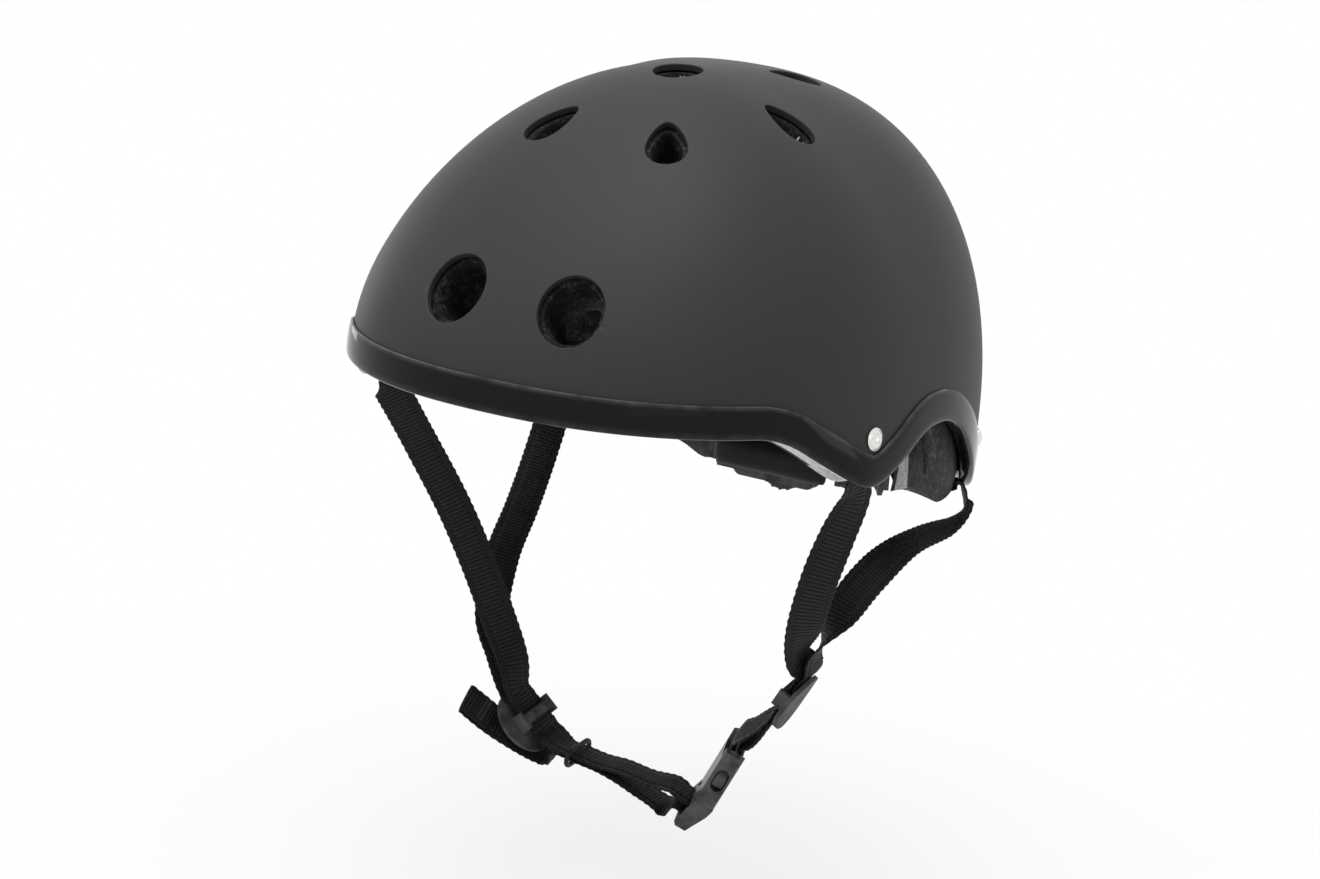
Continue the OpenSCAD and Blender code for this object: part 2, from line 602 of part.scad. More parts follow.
module dial_pinion() {
    base_r = pitch_r * cos(pressure);
    tip_r = pitch_r + addendum;
    root_r = pitch_r - dedendum;
    radii = [for (i = [0:3]) base_r + (tip_r - base_r) * i / 3];
    half = function (r) 90 / pinion_teeth + rolled(base_r, pitch_r) - rolled(base_r,
        r) - backlash / pitch_r * 14;
    root_half = half(base_r);
    color(plastic_colour) difference() {
        union() {
            at_dial(rack_y) linear_extrude(rack_t) polygon([for (k = [0:pinion_teeth - 1])
                let (c = 90 + 360 / pinion_teeth * k) each concat(
                [root_r * [cos(c - root_half), sin(c - root_half)]],
                    [for (r = radii) r * [cos(c - half(r)), sin(c - half(r))]],
                [for (i = [3:-1:0]) radii[i] * [cos(c + half(radii[i])), sin(c + half(radii[i]))]],
                [root_r * [cos(c + root_half), sin(c + root_half)]])]);
            at_dial(rack_y + rack_t - 0.5) cylinder(r = boss_r, h = dial_y - rack_y - rack_t + 0.4,
                $fn = round_fn);
            at_dial(dial_y - 0.2) cylinder(r = boss_r, h = 3, $fn = 6);
        }
        at_dial(rack_y - 1) cylinder(r = axle_r + pin_play, h = 20, $fn = round_fn);
    }
}
module dial_knob() {
    rib_r = 0.8;
    color(plastic_colour) difference() {
        union() {
            at_dial(dial_y) rotate_extrude($fn = 96) polygon([[0, 0], [dial_r - 2, 0], [dial_r - 0.6, 0.8],
                [dial_r - 0.6, dial_t - 2.6],
                [dial_r - 1.6, dial_t - 1.2], [dial_r - 3, dial_t], [dial_r - 4.2, dial_t],
                    [dial_r - 5, dial_t - 0.8], [0, dial_t - 0.8]]);
            for (k = [0:dial_ribs - 1]) at_dial(dial_y + 0.9) rotate(360 / dial_ribs * k)
                translate([dial_r - 0.8, 0, 0]) cylinder(r = rib_r, h = dial_t - 3.8, $fn = 16);
        }
        at_dial(dial_y - 1) cylinder(r = boss_r + pin_play, h = 4.2, $fn = 6);
        at_dial(dial_y + 3) cylinder(r = 2.6, h = 10, $fn = round_fn);
    }
}
module dial_axle() {
    head_y = dial_y + 3.3;
    color(metal_colour) {
        at_dial(cradle_y + 0.1) cylinder(r = axle_r, h = head_y - cradle_y, $fn = round_fn);
        at_dial(head_y) difference() {
            cylinder(r = 2.4, h = 1.6, $fn = round_fn);
            for (a = [0, 90]) rotate(a) translate([-1.6, -0.3, 0.9]) cube([3.2, 0.6, 2]);
        }
    }
}

// Arms: from the end of each rack round the nape, then up the liner's inner skin to a stud.
arm_z = dial_z + band_lift;
arm_rise = 10;
arm_start_y = rack_y + rack_t / 2;
function arm_point(s, t) = let (a = 180 + s * (180 - arm_end_az) * t,
    d = shell_rear - arm_start_y - (shell_rear - arm_start_y - liner_inner - 2.3 - band_t / 2) * t,
    r = plan_r(a, d)) [r * sin(a), -r * cos(a), arm_z + arm_rise * ease(t)];
function arm_route(s) = concat([for (q = [[2.9, 0], [4.9, 0], [6.9, 0.3]])
    [[s * (rack_reach + q[0]), arm_start_y - q[1], arm_z], [0, 0, 1]]],
    [for (i = [1:4]) [arm_point(-s, 0.46 + 0.135 * i), [0, 0, 1]]]);
module arm(s) {
    post = [[arm_stud_z + 7, 0.6], [arm_stud_z - 2, 0.8], [-44, 1.4], [arm_z + arm_rise - band_w / 2, 2.3]];
    a = 180 - s * (180 - arm_end_az);
    post_half = 4.5;
    color(plastic_colour) difference() {
        union() {
            swept(web_rings(arm_route(s), band_w, band_t, 3));
            swept([for (u = [a - post_half, a, a + post_half]) concat([for (q = post) skin_at(u, q[0],
                liner_inner + q[1])],
                [for (i = [3:-1:0]) skin_at(u, post[i][0], liner_inner + post[i][1] + band_t)])]);
        }
        multmatrix(arm_stud_frame(-s)) translate([0, 0, -6]) cylinder(r = 1.5 + pin_play, h = 8,
            $fn = round_fn);
    }
}
module cradle_arm_left() {
    arm(1);
}
module cradle_arm_right() {
    arm(-1);
}

// Webbing: a smooth route through chosen points, each with the direction of the webbing's width.
function through(a, b, c, d, t) = 0.5 * (2 * b + (c - a) * t + (2 * a - 5 * b + 4 * c - d) * t * t
    + (3 * b - a - 3 * c + d) * t * t * t);
function on_route(r, i, t) = [for (k = [0, 1]) through(r[max(i - 1, 0)][k], r[i][k], r[i + 1][k],
    r[min(i + 2, len(r) - 1)][k], t)];
function stations(r, steps) = concat([for (i = [0:len(r) - 2], j = [0:steps - 1]) on_route(r, i,
    j / steps)], [r[len(r) - 1]]);
function web_rings(route, w, t, steps) = let (s = stations(route, steps), n = len(s)) [for (i = [0:n - 1])
    let (p = s[i][0], f = unit(s[min(i + 1, n - 1)][0] - s[max(i - 1, 0)][0]),
        x = unit(s[i][1] - f * (s[i][1] * f)), y = cross(f, x))
    [p - x * w / 2 - y * t / 2, p + x * w / 2 - y * t / 2, p + x * w / 2 + y * t / 2,
        p - x * w / 2 + y * t / 2]];
layer = (web_t + web_gap) / 2;

// Strap dividers: centre, direction of the straps through it, and direction of their width.
// The third direction points away from the head, and the last value shifts the wing to the front.
div_left = [[79.7, -15.6, -117.8], unit([-0.507, 0.169, -0.845]), [0, 0.98, 0.2], -4];
div_right = [[-45.3, -3.3, -160.9], unit([0.7, 0.14, -0.7]), [-0.064, -0.964, -0.256], 4];
function div_frame(d) = let (x = d[1], y = unit(d[2] - x * (d[2] * x))) basis(d[0], x, y, cross(x, y));
function div_point(d, along, out) = let (f = div_frame(d)) d[0] + d[1] * along + [f[0][2], f[1][2],
    f[2][2]] * out;
straight_run = 9.5;

// Buckle: the socket's strap end, the direction towards the plug's foot, and the width's direction.
buckle_at = [51.9, -3.9, -149.3];
buckle_x = unit([-0.43, -0.03, -0.9]);
buckle_y = let (w = [0.355, -0.926, -0.129]) unit(w - buckle_x * (w * buckle_x));
buckle_z = cross(buckle_x, buckle_y);
function in_buckle(x, y, z) = buckle_at + buckle_x * x + buckle_y * y + buckle_z * z;
module at_buckle() {
    multmatrix(basis(buckle_at, buckle_x, buckle_y, buckle_z)) children();
}
socket_bar_x = bar_r;
foot_bar_x = socket_l + play + 7.9;
turn_r = bar_r + web_t / 2 + seat;

// The top of a strap lies behind its rivet and passes inside the trim's inner leg.
leg_depth = shell_wall + leg_seat + trim_inner_t + 1.6 + web_t / 2;
function strap_top(a, z) = let (f = rivet_frame(a, z), x = [f[0][0], f[1][0], f[2][0]],
    n = [f[0][2], f[1][2], f[2][2]],
    w = cross([0, 0, 1], n) * sign_of(sin(a))) concat([for (k = [8, 0, -5.5])
        [skin_at(a, z, 0) + x * k - n * web_depth, w]],
    [for (q = [[rim_z(a) + trim_inner_h + 0.6, leg_depth], [rim_z(a) - 2.2, leg_depth + 0.1]])
        [skin_at(a, q[0], q[1]), w]]);
function into_divider(d, side) = [for (q = [[-straight_run - 4, 0.8], [-straight_run, 0.15], [-5, 0],
    [-0.1, 0]])
    [div_point(d, q[0], side * (layer + q[1])), sign_of(d[3]) * -d[2]]];

front_route_l = concat(strap_top(temple_az, -front_rivet_drop), [
    [[105.8, -34.7, -32], [0.5, 0.86, 0]], [[101.2, -36, -46], [0.75, 0.65, 0.1]],
        [[96.1, -37.1, -64.3], [0.84, 0.53, 0.1]],
    [[90.4, -33.5, -84.3], [0.75, 0.66, 0.1]], [[85.1, -25.3, -99.4], [0.15, 0.95, 0.2]]],
        into_divider(div_left, -1));
rear_route_l = concat(strap_top(rear_rivet_az, -rear_rivet_drop), [
    [[102.8, 75, -55], [-0.6, 0.8, 0]], [[101.4, 57.5, -60.4], [-0.75, 0.5, 0.2]],
        [[97.9, 29.3, -63.9], [-0.95, 0.1, 0.2]],
    [[95.7, 4.2, -73.3], [-0.7, 0.2, 0.68]], [[93, -12, -86.4], [-0.5, 0.6, 0.6]],
        [[89.1, -18.1, -99.6], [-0.05, 0.95, 0.3]]],
    into_divider(div_left, 1));
front_route_r = concat(strap_top(-temple_az, -front_rivet_drop), [
    [[-107, -32.4, -31], [0.7, 0.7, 0.1]], [[-101, -19, -53], [0.84, 0.52, 0.1]],
        [[-88.2, -11.1, -77.9], [0.84, 0.52, 0.1]],
    [[-76.3, -7.2, -101], [0.82, 0.55, 0.1]], [[-65.8, -4, -124.1], [0.7, 0.7, 0.1]],
        [[-57.6, -3.7, -139.7], [0.4, 0.9, 0.2]]],
    into_divider(div_right, -1));
rear_route_r = concat(strap_top(-rear_rivet_az, -rear_rivet_drop), [
    [[-101.6, 82.5, -61.8], [0.8, 0.6, -0.1]], [[-97.5, 66.6, -78.7], [0.86, 0.48, -0.15]],
        [[-90.6, 46.4, -91.1], [0.87, 0.44, -0.2]],
    [[-84, 23.8, -106.2], [0.8, 0.55, -0.1]], [[-76.4, 7, -127], [0.55, 0.8, 0.1]],
        [[-65.8, 0.8, -141.6], [0.3, 0.93, 0.2]]],
    into_divider(div_right, 1));

// Left chin strap: down one side, round the socket's bar and back up the other side.
chin_w_l = [-0.3, 0.93, 0.2];
chin_mid_l = [[[68.6, -13.4, -132.6], 1.2], [[59.6, -8.5, -141.5], 2.4], [in_buckle(-4, 0, 0), 2.2]];
function layer_l(side) = concat([for (x = [0.1, 5, straight_run])
    [div_point(div_left, x, side * layer), div_left[2]]],
    [for (q = chin_mid_l) [q[0] - side * q[1] * buckle_z, chin_w_l]]);
module chin_strap_left() {
    down = layer_l(1);
    up = layer_l(-1);
    turn = [for (a = [-80, -40, 0, 40, 80]) [in_buckle(socket_bar_x + turn_r * cos(a), 0, turn_r * sin(a)),
        -buckle_y]];
    color(web_colour) swept(web_rings(concat(down, turn, [for (i = [len(up) - 1:-1:0]) up[i]]), web_w,
        web_t, 2));
}

// Right chin strap: from the divider through the keeper ring to the plug's bar, round it, back
// through the ring and out past the divider to a tail with a folded end.
chin_w_r = [-0.2, 0.97, 0.1];
ring_at = [-21.4, -5.6, -171.2];
ring_dir = unit([1, 0.06, -0.14]);
ring_n = unit(cross(ring_dir, chin_w_r));
tail_w = [-0.2, 0.86, 0.47];
tail_end = [-66.5, -22.1, -156];
tail_dir = unit([-0.62, -0.34, 0.5]);
tail_n = unit(cross(tail_w, tail_dir));
module chin_strap_right() {
    route = concat([for (x = [0.1, 5, straight_run]) [div_point(div_right, x, -layer), -div_right[2]]],
        [for (x = [-7, 3, 12]) [ring_at + ring_dir * x + ring_n * layer, chin_w_r]],
        [[[0, -4.4, -172.2], chin_w_r], [[12, -4.6, -173.4], chin_w_r],
            [in_buckle(foot_bar_x - turn_r + 1.2, -4.4, 14), -buckle_y],
            [in_buckle(foot_bar_x - turn_r, -0.9, 8), -buckle_y],
                [in_buckle(foot_bar_x - turn_r, 0, 4), -buckle_y]],
        [for (a = [60, 0, -60]) [in_buckle(foot_bar_x - turn_r * sin(a), 0, -turn_r * cos(a)), -buckle_y]],
        [[in_buckle(foot_bar_x + turn_r, 0, 4.5), -buckle_y], [in_buckle(foot_bar_x + turn_r, -0.4, 9),
            -buckle_y],
            [[22.1, -5.6, -182.2], -buckle_y], [[10.8, -4.8, -179.6], chin_w_r],
                [[-1, -5, -175.6], chin_w_r]],
        [for (x = [12, 3, -7]) [ring_at + ring_dir * x - ring_n * layer, chin_w_r]],
        [[[-34.6, -2.2, -175.6], [-0.2, 0.93, 0.3]], [[-41.9, -1.4, -176.4], [-0.2, 0.9, 0.4]],
            [[-51.8, -12.5, -167.8], tail_w],
            [[-59.2, -18.3, -161.9], tail_w], [tail_end, tail_w]],
        [for (q = [[1.2, 0.3], [1.6, 0.95], [1.2, 1.6], [-4, 1.8], [-12, 1.8]])
            [tail_end + tail_dir * q[0] + tail_n * q[1], tail_w]]);
    color(web_colour) swept(web_rings(route, web_w, web_t, 2));
}
module front_strap_left() {
    strap(front_route_l, rivets[2]);
}
module rear_strap_left() {
    strap(rear_route_l, rivets[3]);
}
module front_strap_right() {
    strap(front_route_r, rivets[0]);
}
module rear_strap_right() {
    strap(rear_route_r, rivets[1]);
}
module strap(route, r) {
    color(web_colour) difference() {
        swept(web_rings(route, web_w, web_t, 3));
        multmatrix(rivet_frame(r[0], r[1])) translate([0, 0, -10]) cylinder(r = shank_r + pin_play, h = 10,
            $fn = round_fn);
    }
}

// Divider: a lens-shaped wing outside the webbing, two rails, and a bar on the head's side.
stack_half = web_t + web_gap / 2 + play;
module divider(d) {
    rail_in = web_w / 2 + 0.4;
    rail_t = 1.6;
    wing_r = 90;
    lens_r = (pow(divider_l / 2, 2) + pow(divider_w / 2, 2)) / divider_w;
    color(plastic_colour) multmatrix(div_frame(d)) {
        intersection() {
            translate([0, d[3], stack_half]) linear_extrude(8) intersection() {
                translate([0, divider_w / 2 - lens_r]) circle(r = lens_r, $fn = 96);
                translate([0, lens_r - divider_w / 2]) circle(r = lens_r, $fn = 96);
            }
            translate([0, d[3], stack_half + wing_r]) rotate([90, 0, 0]) difference() {
                cylinder(r = wing_r, h = divider_w, center = true, $fn = 120);
                cylinder(r = wing_r - divider_t, h = divider_w + 2, center = true, $fn = 120);
            }
        }
        for (s = [-1, 1]) translate([-4, s > 0 ? rail_in : -rail_in - rail_t, -stack_half - divider_t])
            cube([8, rail_t, 2 * stack_half + divider_t + 0.9]);
        translate([-2.2, -rail_in - rail_t / 2, -stack_half - divider_t]) cube([4.4, 2 * rail_in + rail_t,
            divider_t]);
    }
}
module divider_left() {
    divider(div_left);
}
module divider_right() {
    divider(div_right);
}

// Keeper ring: a rubber ring drawn out flat round the layers of webbing.
module keeper_ring() {
    half_w = web_w / 2 - 1.5;
    end_r = web_t + web_gap + 0.4 + ring_t / 2 + 0.3;
    path = concat([for (i = [0:7]) [half_w + end_r * sin(180 * i / 7), end_r * cos(180 * i / 7)]],
        [for (i = [0:7]) [-half_w - end_r * sin(180 * i / 7), -end_r * cos(180 * i / 7)]]);
    n = len(path);
    color(gloss_colour) multmatrix(basis(ring_at, unit(chin_w_r - ring_dir * (chin_w_r * ring_dir)),
        ring_n, ring_dir))
        swept_round([for (i = [0:n - 1]) let (f = unit(path[(i + 1) % n] - path[(i + n - 1) % n]),
            o = [f[1], -f[0]])
            [for (k = [5:-1:0]) [path[i][0] + o[0] * ring_t / 2 * cos(60 * k),
                path[i][1] + o[1] * ring_t / 2 * cos(60 * k), ring_t / 2 * sin(60 * k)]]]);
}

// Socket: local x runs from its strap bar to its mouth, z is its thickness.
cavity_half_h = buckle_t / 2 - socket_wall;
cavity_half_w = buckle_w / 2 - socket_wall - 0.4;
slot_half_w = web_w / 2 + 0.6;
foot_slot_half_w = web_w / 2 + 1.4;
lobe_x0 = 8.4;
lobe_x1 = 16.9;
module soft_block(x0, x1, half_w, half_h, r) {
    translate([x0, 0, 0]) rotate([90, 0, 90]) linear_extrude(x1 - x0) offset_rect(half_w, half_h, r);
}
module buckle_socket() {
    color(plastic_colour) at_buckle() {
        difference() {
            soft_block(0, socket_l, buckle_w / 2, buckle_t / 2, 2.4);
            translate([6.9, -cavity_half_w, -cavity_half_h]) cube([socket_l, 2 * cavity_half_w,
                2 * cavity_half_h]);
            translate([-1, -slot_half_w, -buckle_t]) cube([6, 2 * slot_half_w, 2 * buckle_t]);
            for (s = [-1, 1]) translate([(lobe_x0 + lobe_x1) / 2, s * buckle_w / 2, 0]) rotate([90, 0, 0])
                linear_extrude(2 * socket_wall + 2, center = true) window_outline();
        }
        translate([socket_bar_x, slot_half_w + 1, 0]) rotate([90, 0, 0]) cylinder(r = bar_r,
            h = 2 * slot_half_w + 2, $fn = round_fn);
    }
}
module window_outline() {
    half_l = (lobe_x1 - lobe_x0) / 2 + 1;
    half_h = cavity_half_h;
    for (s = [-1, 1]) translate([s * (half_l - half_h), 0]) circle(r = half_h, $fn = round_fn);
    square([2 * (half_l - half_h), 2 * half_h], center = true);
}
// Plug: foot with the webbing's bar, and a tongue that guides it in the socket.
foot_x = socket_l + play;
hinge_x = foot_x + 2;
hinge_y = cavity_half_w - 2.4;
knuckle_r = 1.2;
foot_slot_half_l = turn_r + web_t / 2 + 0.4;
module buckle_plug() {
    tongue_half_w = 3;
    tongue_half_h = cavity_half_h - 0.4;
    lean = 0.23;
    color(plastic_colour) at_buckle() {
        difference() {
            rotate([90, 0, 0]) linear_extrude(buckle_w - 1, center = true) polygon([[foot_x,
                -buckle_t / 2], [foot_x, buckle_t / 2 - 0.6],
                [foot_x + foot_l - 1.5, buckle_t / 2 - 0.4 + lean * foot_l],
                    [foot_x + foot_l, buckle_t / 2 - 1.6 + lean * foot_l],
                [foot_x + foot_l, -buckle_t / 2 + 2.2 + lean * foot_l],
                    [foot_x + 4, -buckle_t / 2 + lean * 4]]);
            translate([foot_bar_x - foot_slot_half_l, -foot_slot_half_w, -buckle_t * 1.5])
                cube([2 * foot_slot_half_l, 2 * foot_slot_half_w, buckle_t * 4]);
            for (s = [-1, 1]) {
                translate([hinge_x, s * hinge_y, -buckle_t]) cylinder(r = knuckle_r + pin_play,
                    h = 2 * buckle_t, $fn = round_fn);
                translate([foot_x - 1, s * hinge_y - 1.6, -buckle_t]) cube([3, 3.2, 2 * buckle_t]);
            }
        }
        translate([foot_bar_x, foot_slot_half_w + 1, 0]) rotate([90, 0, 0]) cylinder(r = bar_r,
            h = 2 * foot_slot_half_w + 2, $fn = round_fn);
        translate([foot_x - 13, -tongue_half_w, -tongue_half_h]) cube([13.5, 2 * tongue_half_w,
            2 * tongue_half_h]);
    }
}
module prong(s) {
    half_h = cavity_half_h - 0.5;
    inner = hinge_y - 0.9;
    outer = hinge_y + 0.9;
    tip = buckle_w / 2 - 0.3;
    x0 = hinge_x - prong_l;
    color(plastic_colour) at_buckle() {
        translate([hinge_x, s * hinge_y, -half_h]) cylinder(r = knuckle_r, h = 2 * half_h, $fn = round_fn);
        translate([0, 0, -half_h]) linear_extrude(2 * half_h) mirror([0,
            s < 0 ? 1 : 0]) polygon([[hinge_x, inner], [x0 + 3, inner], [x0, inner - 0.2],
            [x0, outer - 0.6], [lobe_x0 + 1, tip - 2.2], [lobe_x0 + 3, tip - 0.4], [lobe_x0 + 5, tip],
                [lobe_x1 - 1.4, tip - 0.3],
            [lobe_x1 - 0.4, tip - 1.2], [lobe_x1 - 0.4, outer], [hinge_x, outer]]);
    }
}
module prong_front() {
    prong(1);
}
module prong_rear() {
    prong(-1);
}

outer_shell();
edge_trim();
foam_liner();
front_rivets();
rear_rivets();
rivet_washers();
front_pad();
rear_pad();
side_pad_left();
side_pad_right();
crown_pad_left();
crown_pad_right();
pad_patches();
cradle_casing();
cradle_cover();
cradle_hanger();
cradle_studs();
cradle_pad();
cradle_arm_left();
cradle_arm_right();
rack_left();
rack_right();
dial_knob();
dial_pinion();
dial_axle();
front_strap_left();
rear_strap_left();
chin_strap_left();
front_strap_right();
rear_strap_right();
chin_strap_right();
divider_left();
divider_right();
keeper_ring();
buckle_socket();
buckle_plug();
prong_front();
prong_rear();
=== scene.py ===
"""Looks of a round-shell bicycle helmet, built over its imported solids.

Lengths inside the classes are millimetres, in the same frame as the solids: +Z is up, -Y is the
front and +X is the wearer's left. Meshes are scaled to metres where they are made.
"""

from __future__ import annotations

import json
import logging
import math
from dataclasses import dataclass, field
from enum import Enum
from typing import Callable, Iterable, Sequence

import bmesh
import bpy
from mathutils import Matrix, Vector

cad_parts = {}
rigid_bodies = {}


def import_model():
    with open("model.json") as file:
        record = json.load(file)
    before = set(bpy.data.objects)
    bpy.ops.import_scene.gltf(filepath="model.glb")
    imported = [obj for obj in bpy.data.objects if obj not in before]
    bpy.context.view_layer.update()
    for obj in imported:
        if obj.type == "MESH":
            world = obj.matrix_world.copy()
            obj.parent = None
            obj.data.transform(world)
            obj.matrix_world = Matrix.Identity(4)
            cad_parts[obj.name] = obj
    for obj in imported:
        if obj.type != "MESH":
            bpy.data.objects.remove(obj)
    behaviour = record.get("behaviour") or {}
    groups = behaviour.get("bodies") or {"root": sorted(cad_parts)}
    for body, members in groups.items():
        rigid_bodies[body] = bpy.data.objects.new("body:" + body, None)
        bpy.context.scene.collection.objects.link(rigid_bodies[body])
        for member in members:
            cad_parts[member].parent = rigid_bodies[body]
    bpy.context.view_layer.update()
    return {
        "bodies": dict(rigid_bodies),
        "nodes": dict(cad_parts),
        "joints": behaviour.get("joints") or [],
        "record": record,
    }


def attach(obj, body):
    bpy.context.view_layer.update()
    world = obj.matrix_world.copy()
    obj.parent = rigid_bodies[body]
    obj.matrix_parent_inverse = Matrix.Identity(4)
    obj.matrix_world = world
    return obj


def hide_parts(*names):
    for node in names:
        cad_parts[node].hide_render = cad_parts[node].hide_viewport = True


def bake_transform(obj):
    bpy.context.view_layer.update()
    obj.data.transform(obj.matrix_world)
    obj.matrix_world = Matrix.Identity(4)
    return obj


LOG = logging.getLogger("helmet")
MM = 0.001
SHARP = 35.0  # degrees over which an edge stays sharp, unless a piece says otherwise
CLOTH_MIDDLE = 50.0  # where the webbing's middle line lies across its UV map
WHITE = (1.0, 1.0, 1.0, 1.0)
QUARTERS = (0.0, 0.25, 0.5, 0.75, 1.0)
Ring = list[Vector]
Face = tuple[int, ...]
Station = tuple[Vector, Vector]
Piece = bpy.types.Object
Tree = bpy.types.NodeTree
Socket = bpy.types.NodeSocket
Sockets = bpy.types.bpy_prop_collection


class Slot(Enum):
    """The record's material slots."""

    SHELL = "shell"
    TRIM = "gloss_trim"
    FOAM = "foam"
    NICKEL = "nickel"
    STEEL = "steel"
    PAD = "pad_fabric"
    HOOK = "hook_patch"
    PLASTIC = "black_plastic"
    DIAL = "dial_plastic"
    WEBBING = "webbing"
    RUBBER = "ring_rubber"


class Cap(Enum):
    """How the two ends of a loft are closed."""

    FLAT = 1
    LOOP = 2


# Angles and vectors


def sin_d(a: float) -> float:
    """Sine of an angle in degrees."""
    return math.sin(math.radians(a))


def cos_d(a: float) -> float:
    """Cosine of an angle in degrees."""
    return math.cos(math.radians(a))


def fold(a: float) -> float:
    """Azimuth folded to 0 at the front and 180 at the rear."""
    a = abs(a)
    return 360 - a if a > 180 else a


def sign_of(x: float) -> int:
    """-1 below zero, otherwise 1."""
    return -1 if x < 0 else 1


def ease(t: float) -> float:
    """Smooth step from 0 to 1."""
    return 0.0 if t <= 0 else 1.0 if t >= 1 else (1 - math.cos(math.pi * t)) / 2


def square_to(v: Vector, along: Vector) -> Vector:
    """Unit direction of v with what runs along another unit direction taken out."""
    return (v - along * v.dot(along)).normalized()


def soft_min(a: float, b: float, k: float) -> float:
    """Smooth minimum of two heights.

    Args:
        a: First height.
        b: Second height.
        k: Width of the rounding between them.

    Returns:
        The lower height, rounded where the two meet.
    """
    h = max(0.0, min(1.0, 0.5 + 0.5 * (b - a) / k))
    return b * (1 - h) + a * h - k * h * (1 - h)


@dataclass(frozen=True)
class Axes:
    """A local frame: an origin and three unit directions."""

    origin: Vector
    x: Vector
    y: Vector
    z: Vector

    def at(self, x: float, y: float, z: float) -> Vector:
        """Point at local x, y, z."""
        return self.origin + self.x * x + self.y * y + self.z * z

    @staticmethod
    def standing(origin: Vector, normal: Vector, up: Vector) -> "Axes":
        """Frame whose z is a normal and whose x leans towards up.

        Args:
            origin: Where the frame stands.
            normal: Its z direction, of unit length.
            up: Direction that x leans towards.

        Returns:
            The frame.
        """
        x = square_to(up, normal)
        return Axes(origin, x, normal.cross(x), normal)


# Mesh making


def bridge(n: int, m: int, closed_rows: bool) -> list[Face]:
    """Quads between n rings of m points.

    Args:
        n: Number of rings.
        m: Points in each ring, which is closed.
        closed_rows: True if the last ring joins the first.

    Returns:
        The faces.
    """
    faces = []
    for r in range(n if closed_rows else n - 1):
        a, b = r * m, ((r + 1) % n) * m
        faces += [(a + i, b + i, b + (i + 1) % m, a + (i + 1) % m) for i in range(m)]
    return faces


def shade_by_angle(mesh: bpy.types.Mesh, sharp: float) -> None:
    """Smooths a mesh except at the edges over an angle in degrees."""
    mesh.polygons.foreach_set("use_smooth", [True] * len(mesh.polygons))
    mesh.set_sharp_from_angle(angle=math.radians(sharp))


def add_object(name: str, data: bpy.types.ID) -> Piece:
    """Links a new object with this data to the scene."""
    made = bpy.data.objects.new(name, data)
    bpy.context.scene.collection.objects.link(made)
    return made


def make_object(
    name: str, points: Iterable[Vector], faces: Sequence[Face], sharp: float = SHARP
) -> Piece:
    """Makes a smooth-shaded object from points in millimetres.

    Args:
        name: The piece's name.
        points: Vertices in millimetres.
        faces: Faces as vertex numbers.
        sharp: Angle in degrees over which an edge stays sharp.

    Returns:
        The object, linked to the scene.
    """
    mesh = bpy.data.meshes.new(name)
    mesh.from_pydata([p * MM for p in points], [], faces)
    mesh.validate()
    bm = bmesh.new()
    bm.from_mesh(mesh)
    bmesh.ops.recalc_face_normals(bm, faces=bm.faces)
    bm.to_mesh(mesh)
    bm.free()
    shade_by_angle(mesh, sharp)
    return add_object(name, mesh)


def add_tube(points: Ring, faces: list[Face], rings: Sequence[Ring]) -> None:
    """Adds one tube with flat ends to a mesh's points and faces.

    Args:
        points: The mesh's points so far.
        faces: The mesh's faces so far.
        rings: The tube's rings, of equal length.
    """
    base, n, m = len(points), len(rings), len(rings[0])
    last = base + (n - 1) * m
    points += [p for ring in rings for p in ring]
    faces += [tuple(base + v for v in face) for face in bridge(n, m, False)]
    faces += [tuple(range(base, base + m)), tuple(range(last, last + m))]


def make_dome(
    name: str, rings: Sequence[Ring], tips: Sequence[Vector], sharp: float = SHARP
) -> Piece:
    """Makes a double-walled dome, open below.

    Args:
        name: The piece's name.
        rings: Rings from the inner wall's crown down to the rim and up to the outer wall's crown.
        tips: The inner wall's crown point and the outer wall's.
        sharp: Angle in degrees over which an edge stays sharp.

    Returns:
        The object.
    """
    n, m = len(rings), len(rings[0])
    points = [p for ring in rings for p in ring]
    tip, last = len(points), (n - 1) * m
    faces = bridge(n, m, False)
    faces += [(tip, (i + 1) % m, i) for i in range(m)]
    faces += [(tip + 1, last + i, last + (i + 1) % m) for i in range(m)]
    return make_object(name, points + list(tips), faces, sharp)


def loft(name: str, rings: Sequence[Ring], cap: Cap, sharp: float = SHARP) -> Piece:
    """Makes an object from closed rings of equal length.

    Args:
        name: The piece's name.
        rings: The rings, in millimetres.
        cap: How the ends are closed.
        sharp: Angle in degrees over which an edge stays sharp.

    Returns:
        The object.
    """
    n, m = len(rings), len(rings[0])
    faces = bridge(n, m, cap is Cap.LOOP)
    if cap is Cap.FLAT:
        faces += [tuple(range(m)), tuple((n - 1) * m + i for i in range(m))]
    return make_object(name, [p for ring in rings for p in ring], faces, sharp)


def apply_modifiers(obj: Piece) -> None:
    """Bakes an object's modifiers into its mesh."""
    graph = bpy.context.evaluated_depsgraph_get()
    graph.update()
    baked = bpy.data.meshes.new_from_object(obj.evaluated_get(graph), depsgraph=graph)
    obj.modifiers.clear()
    old, obj.data = obj.data, baked
    baked.name = obj.name
    bpy.data.meshes.remove(old)


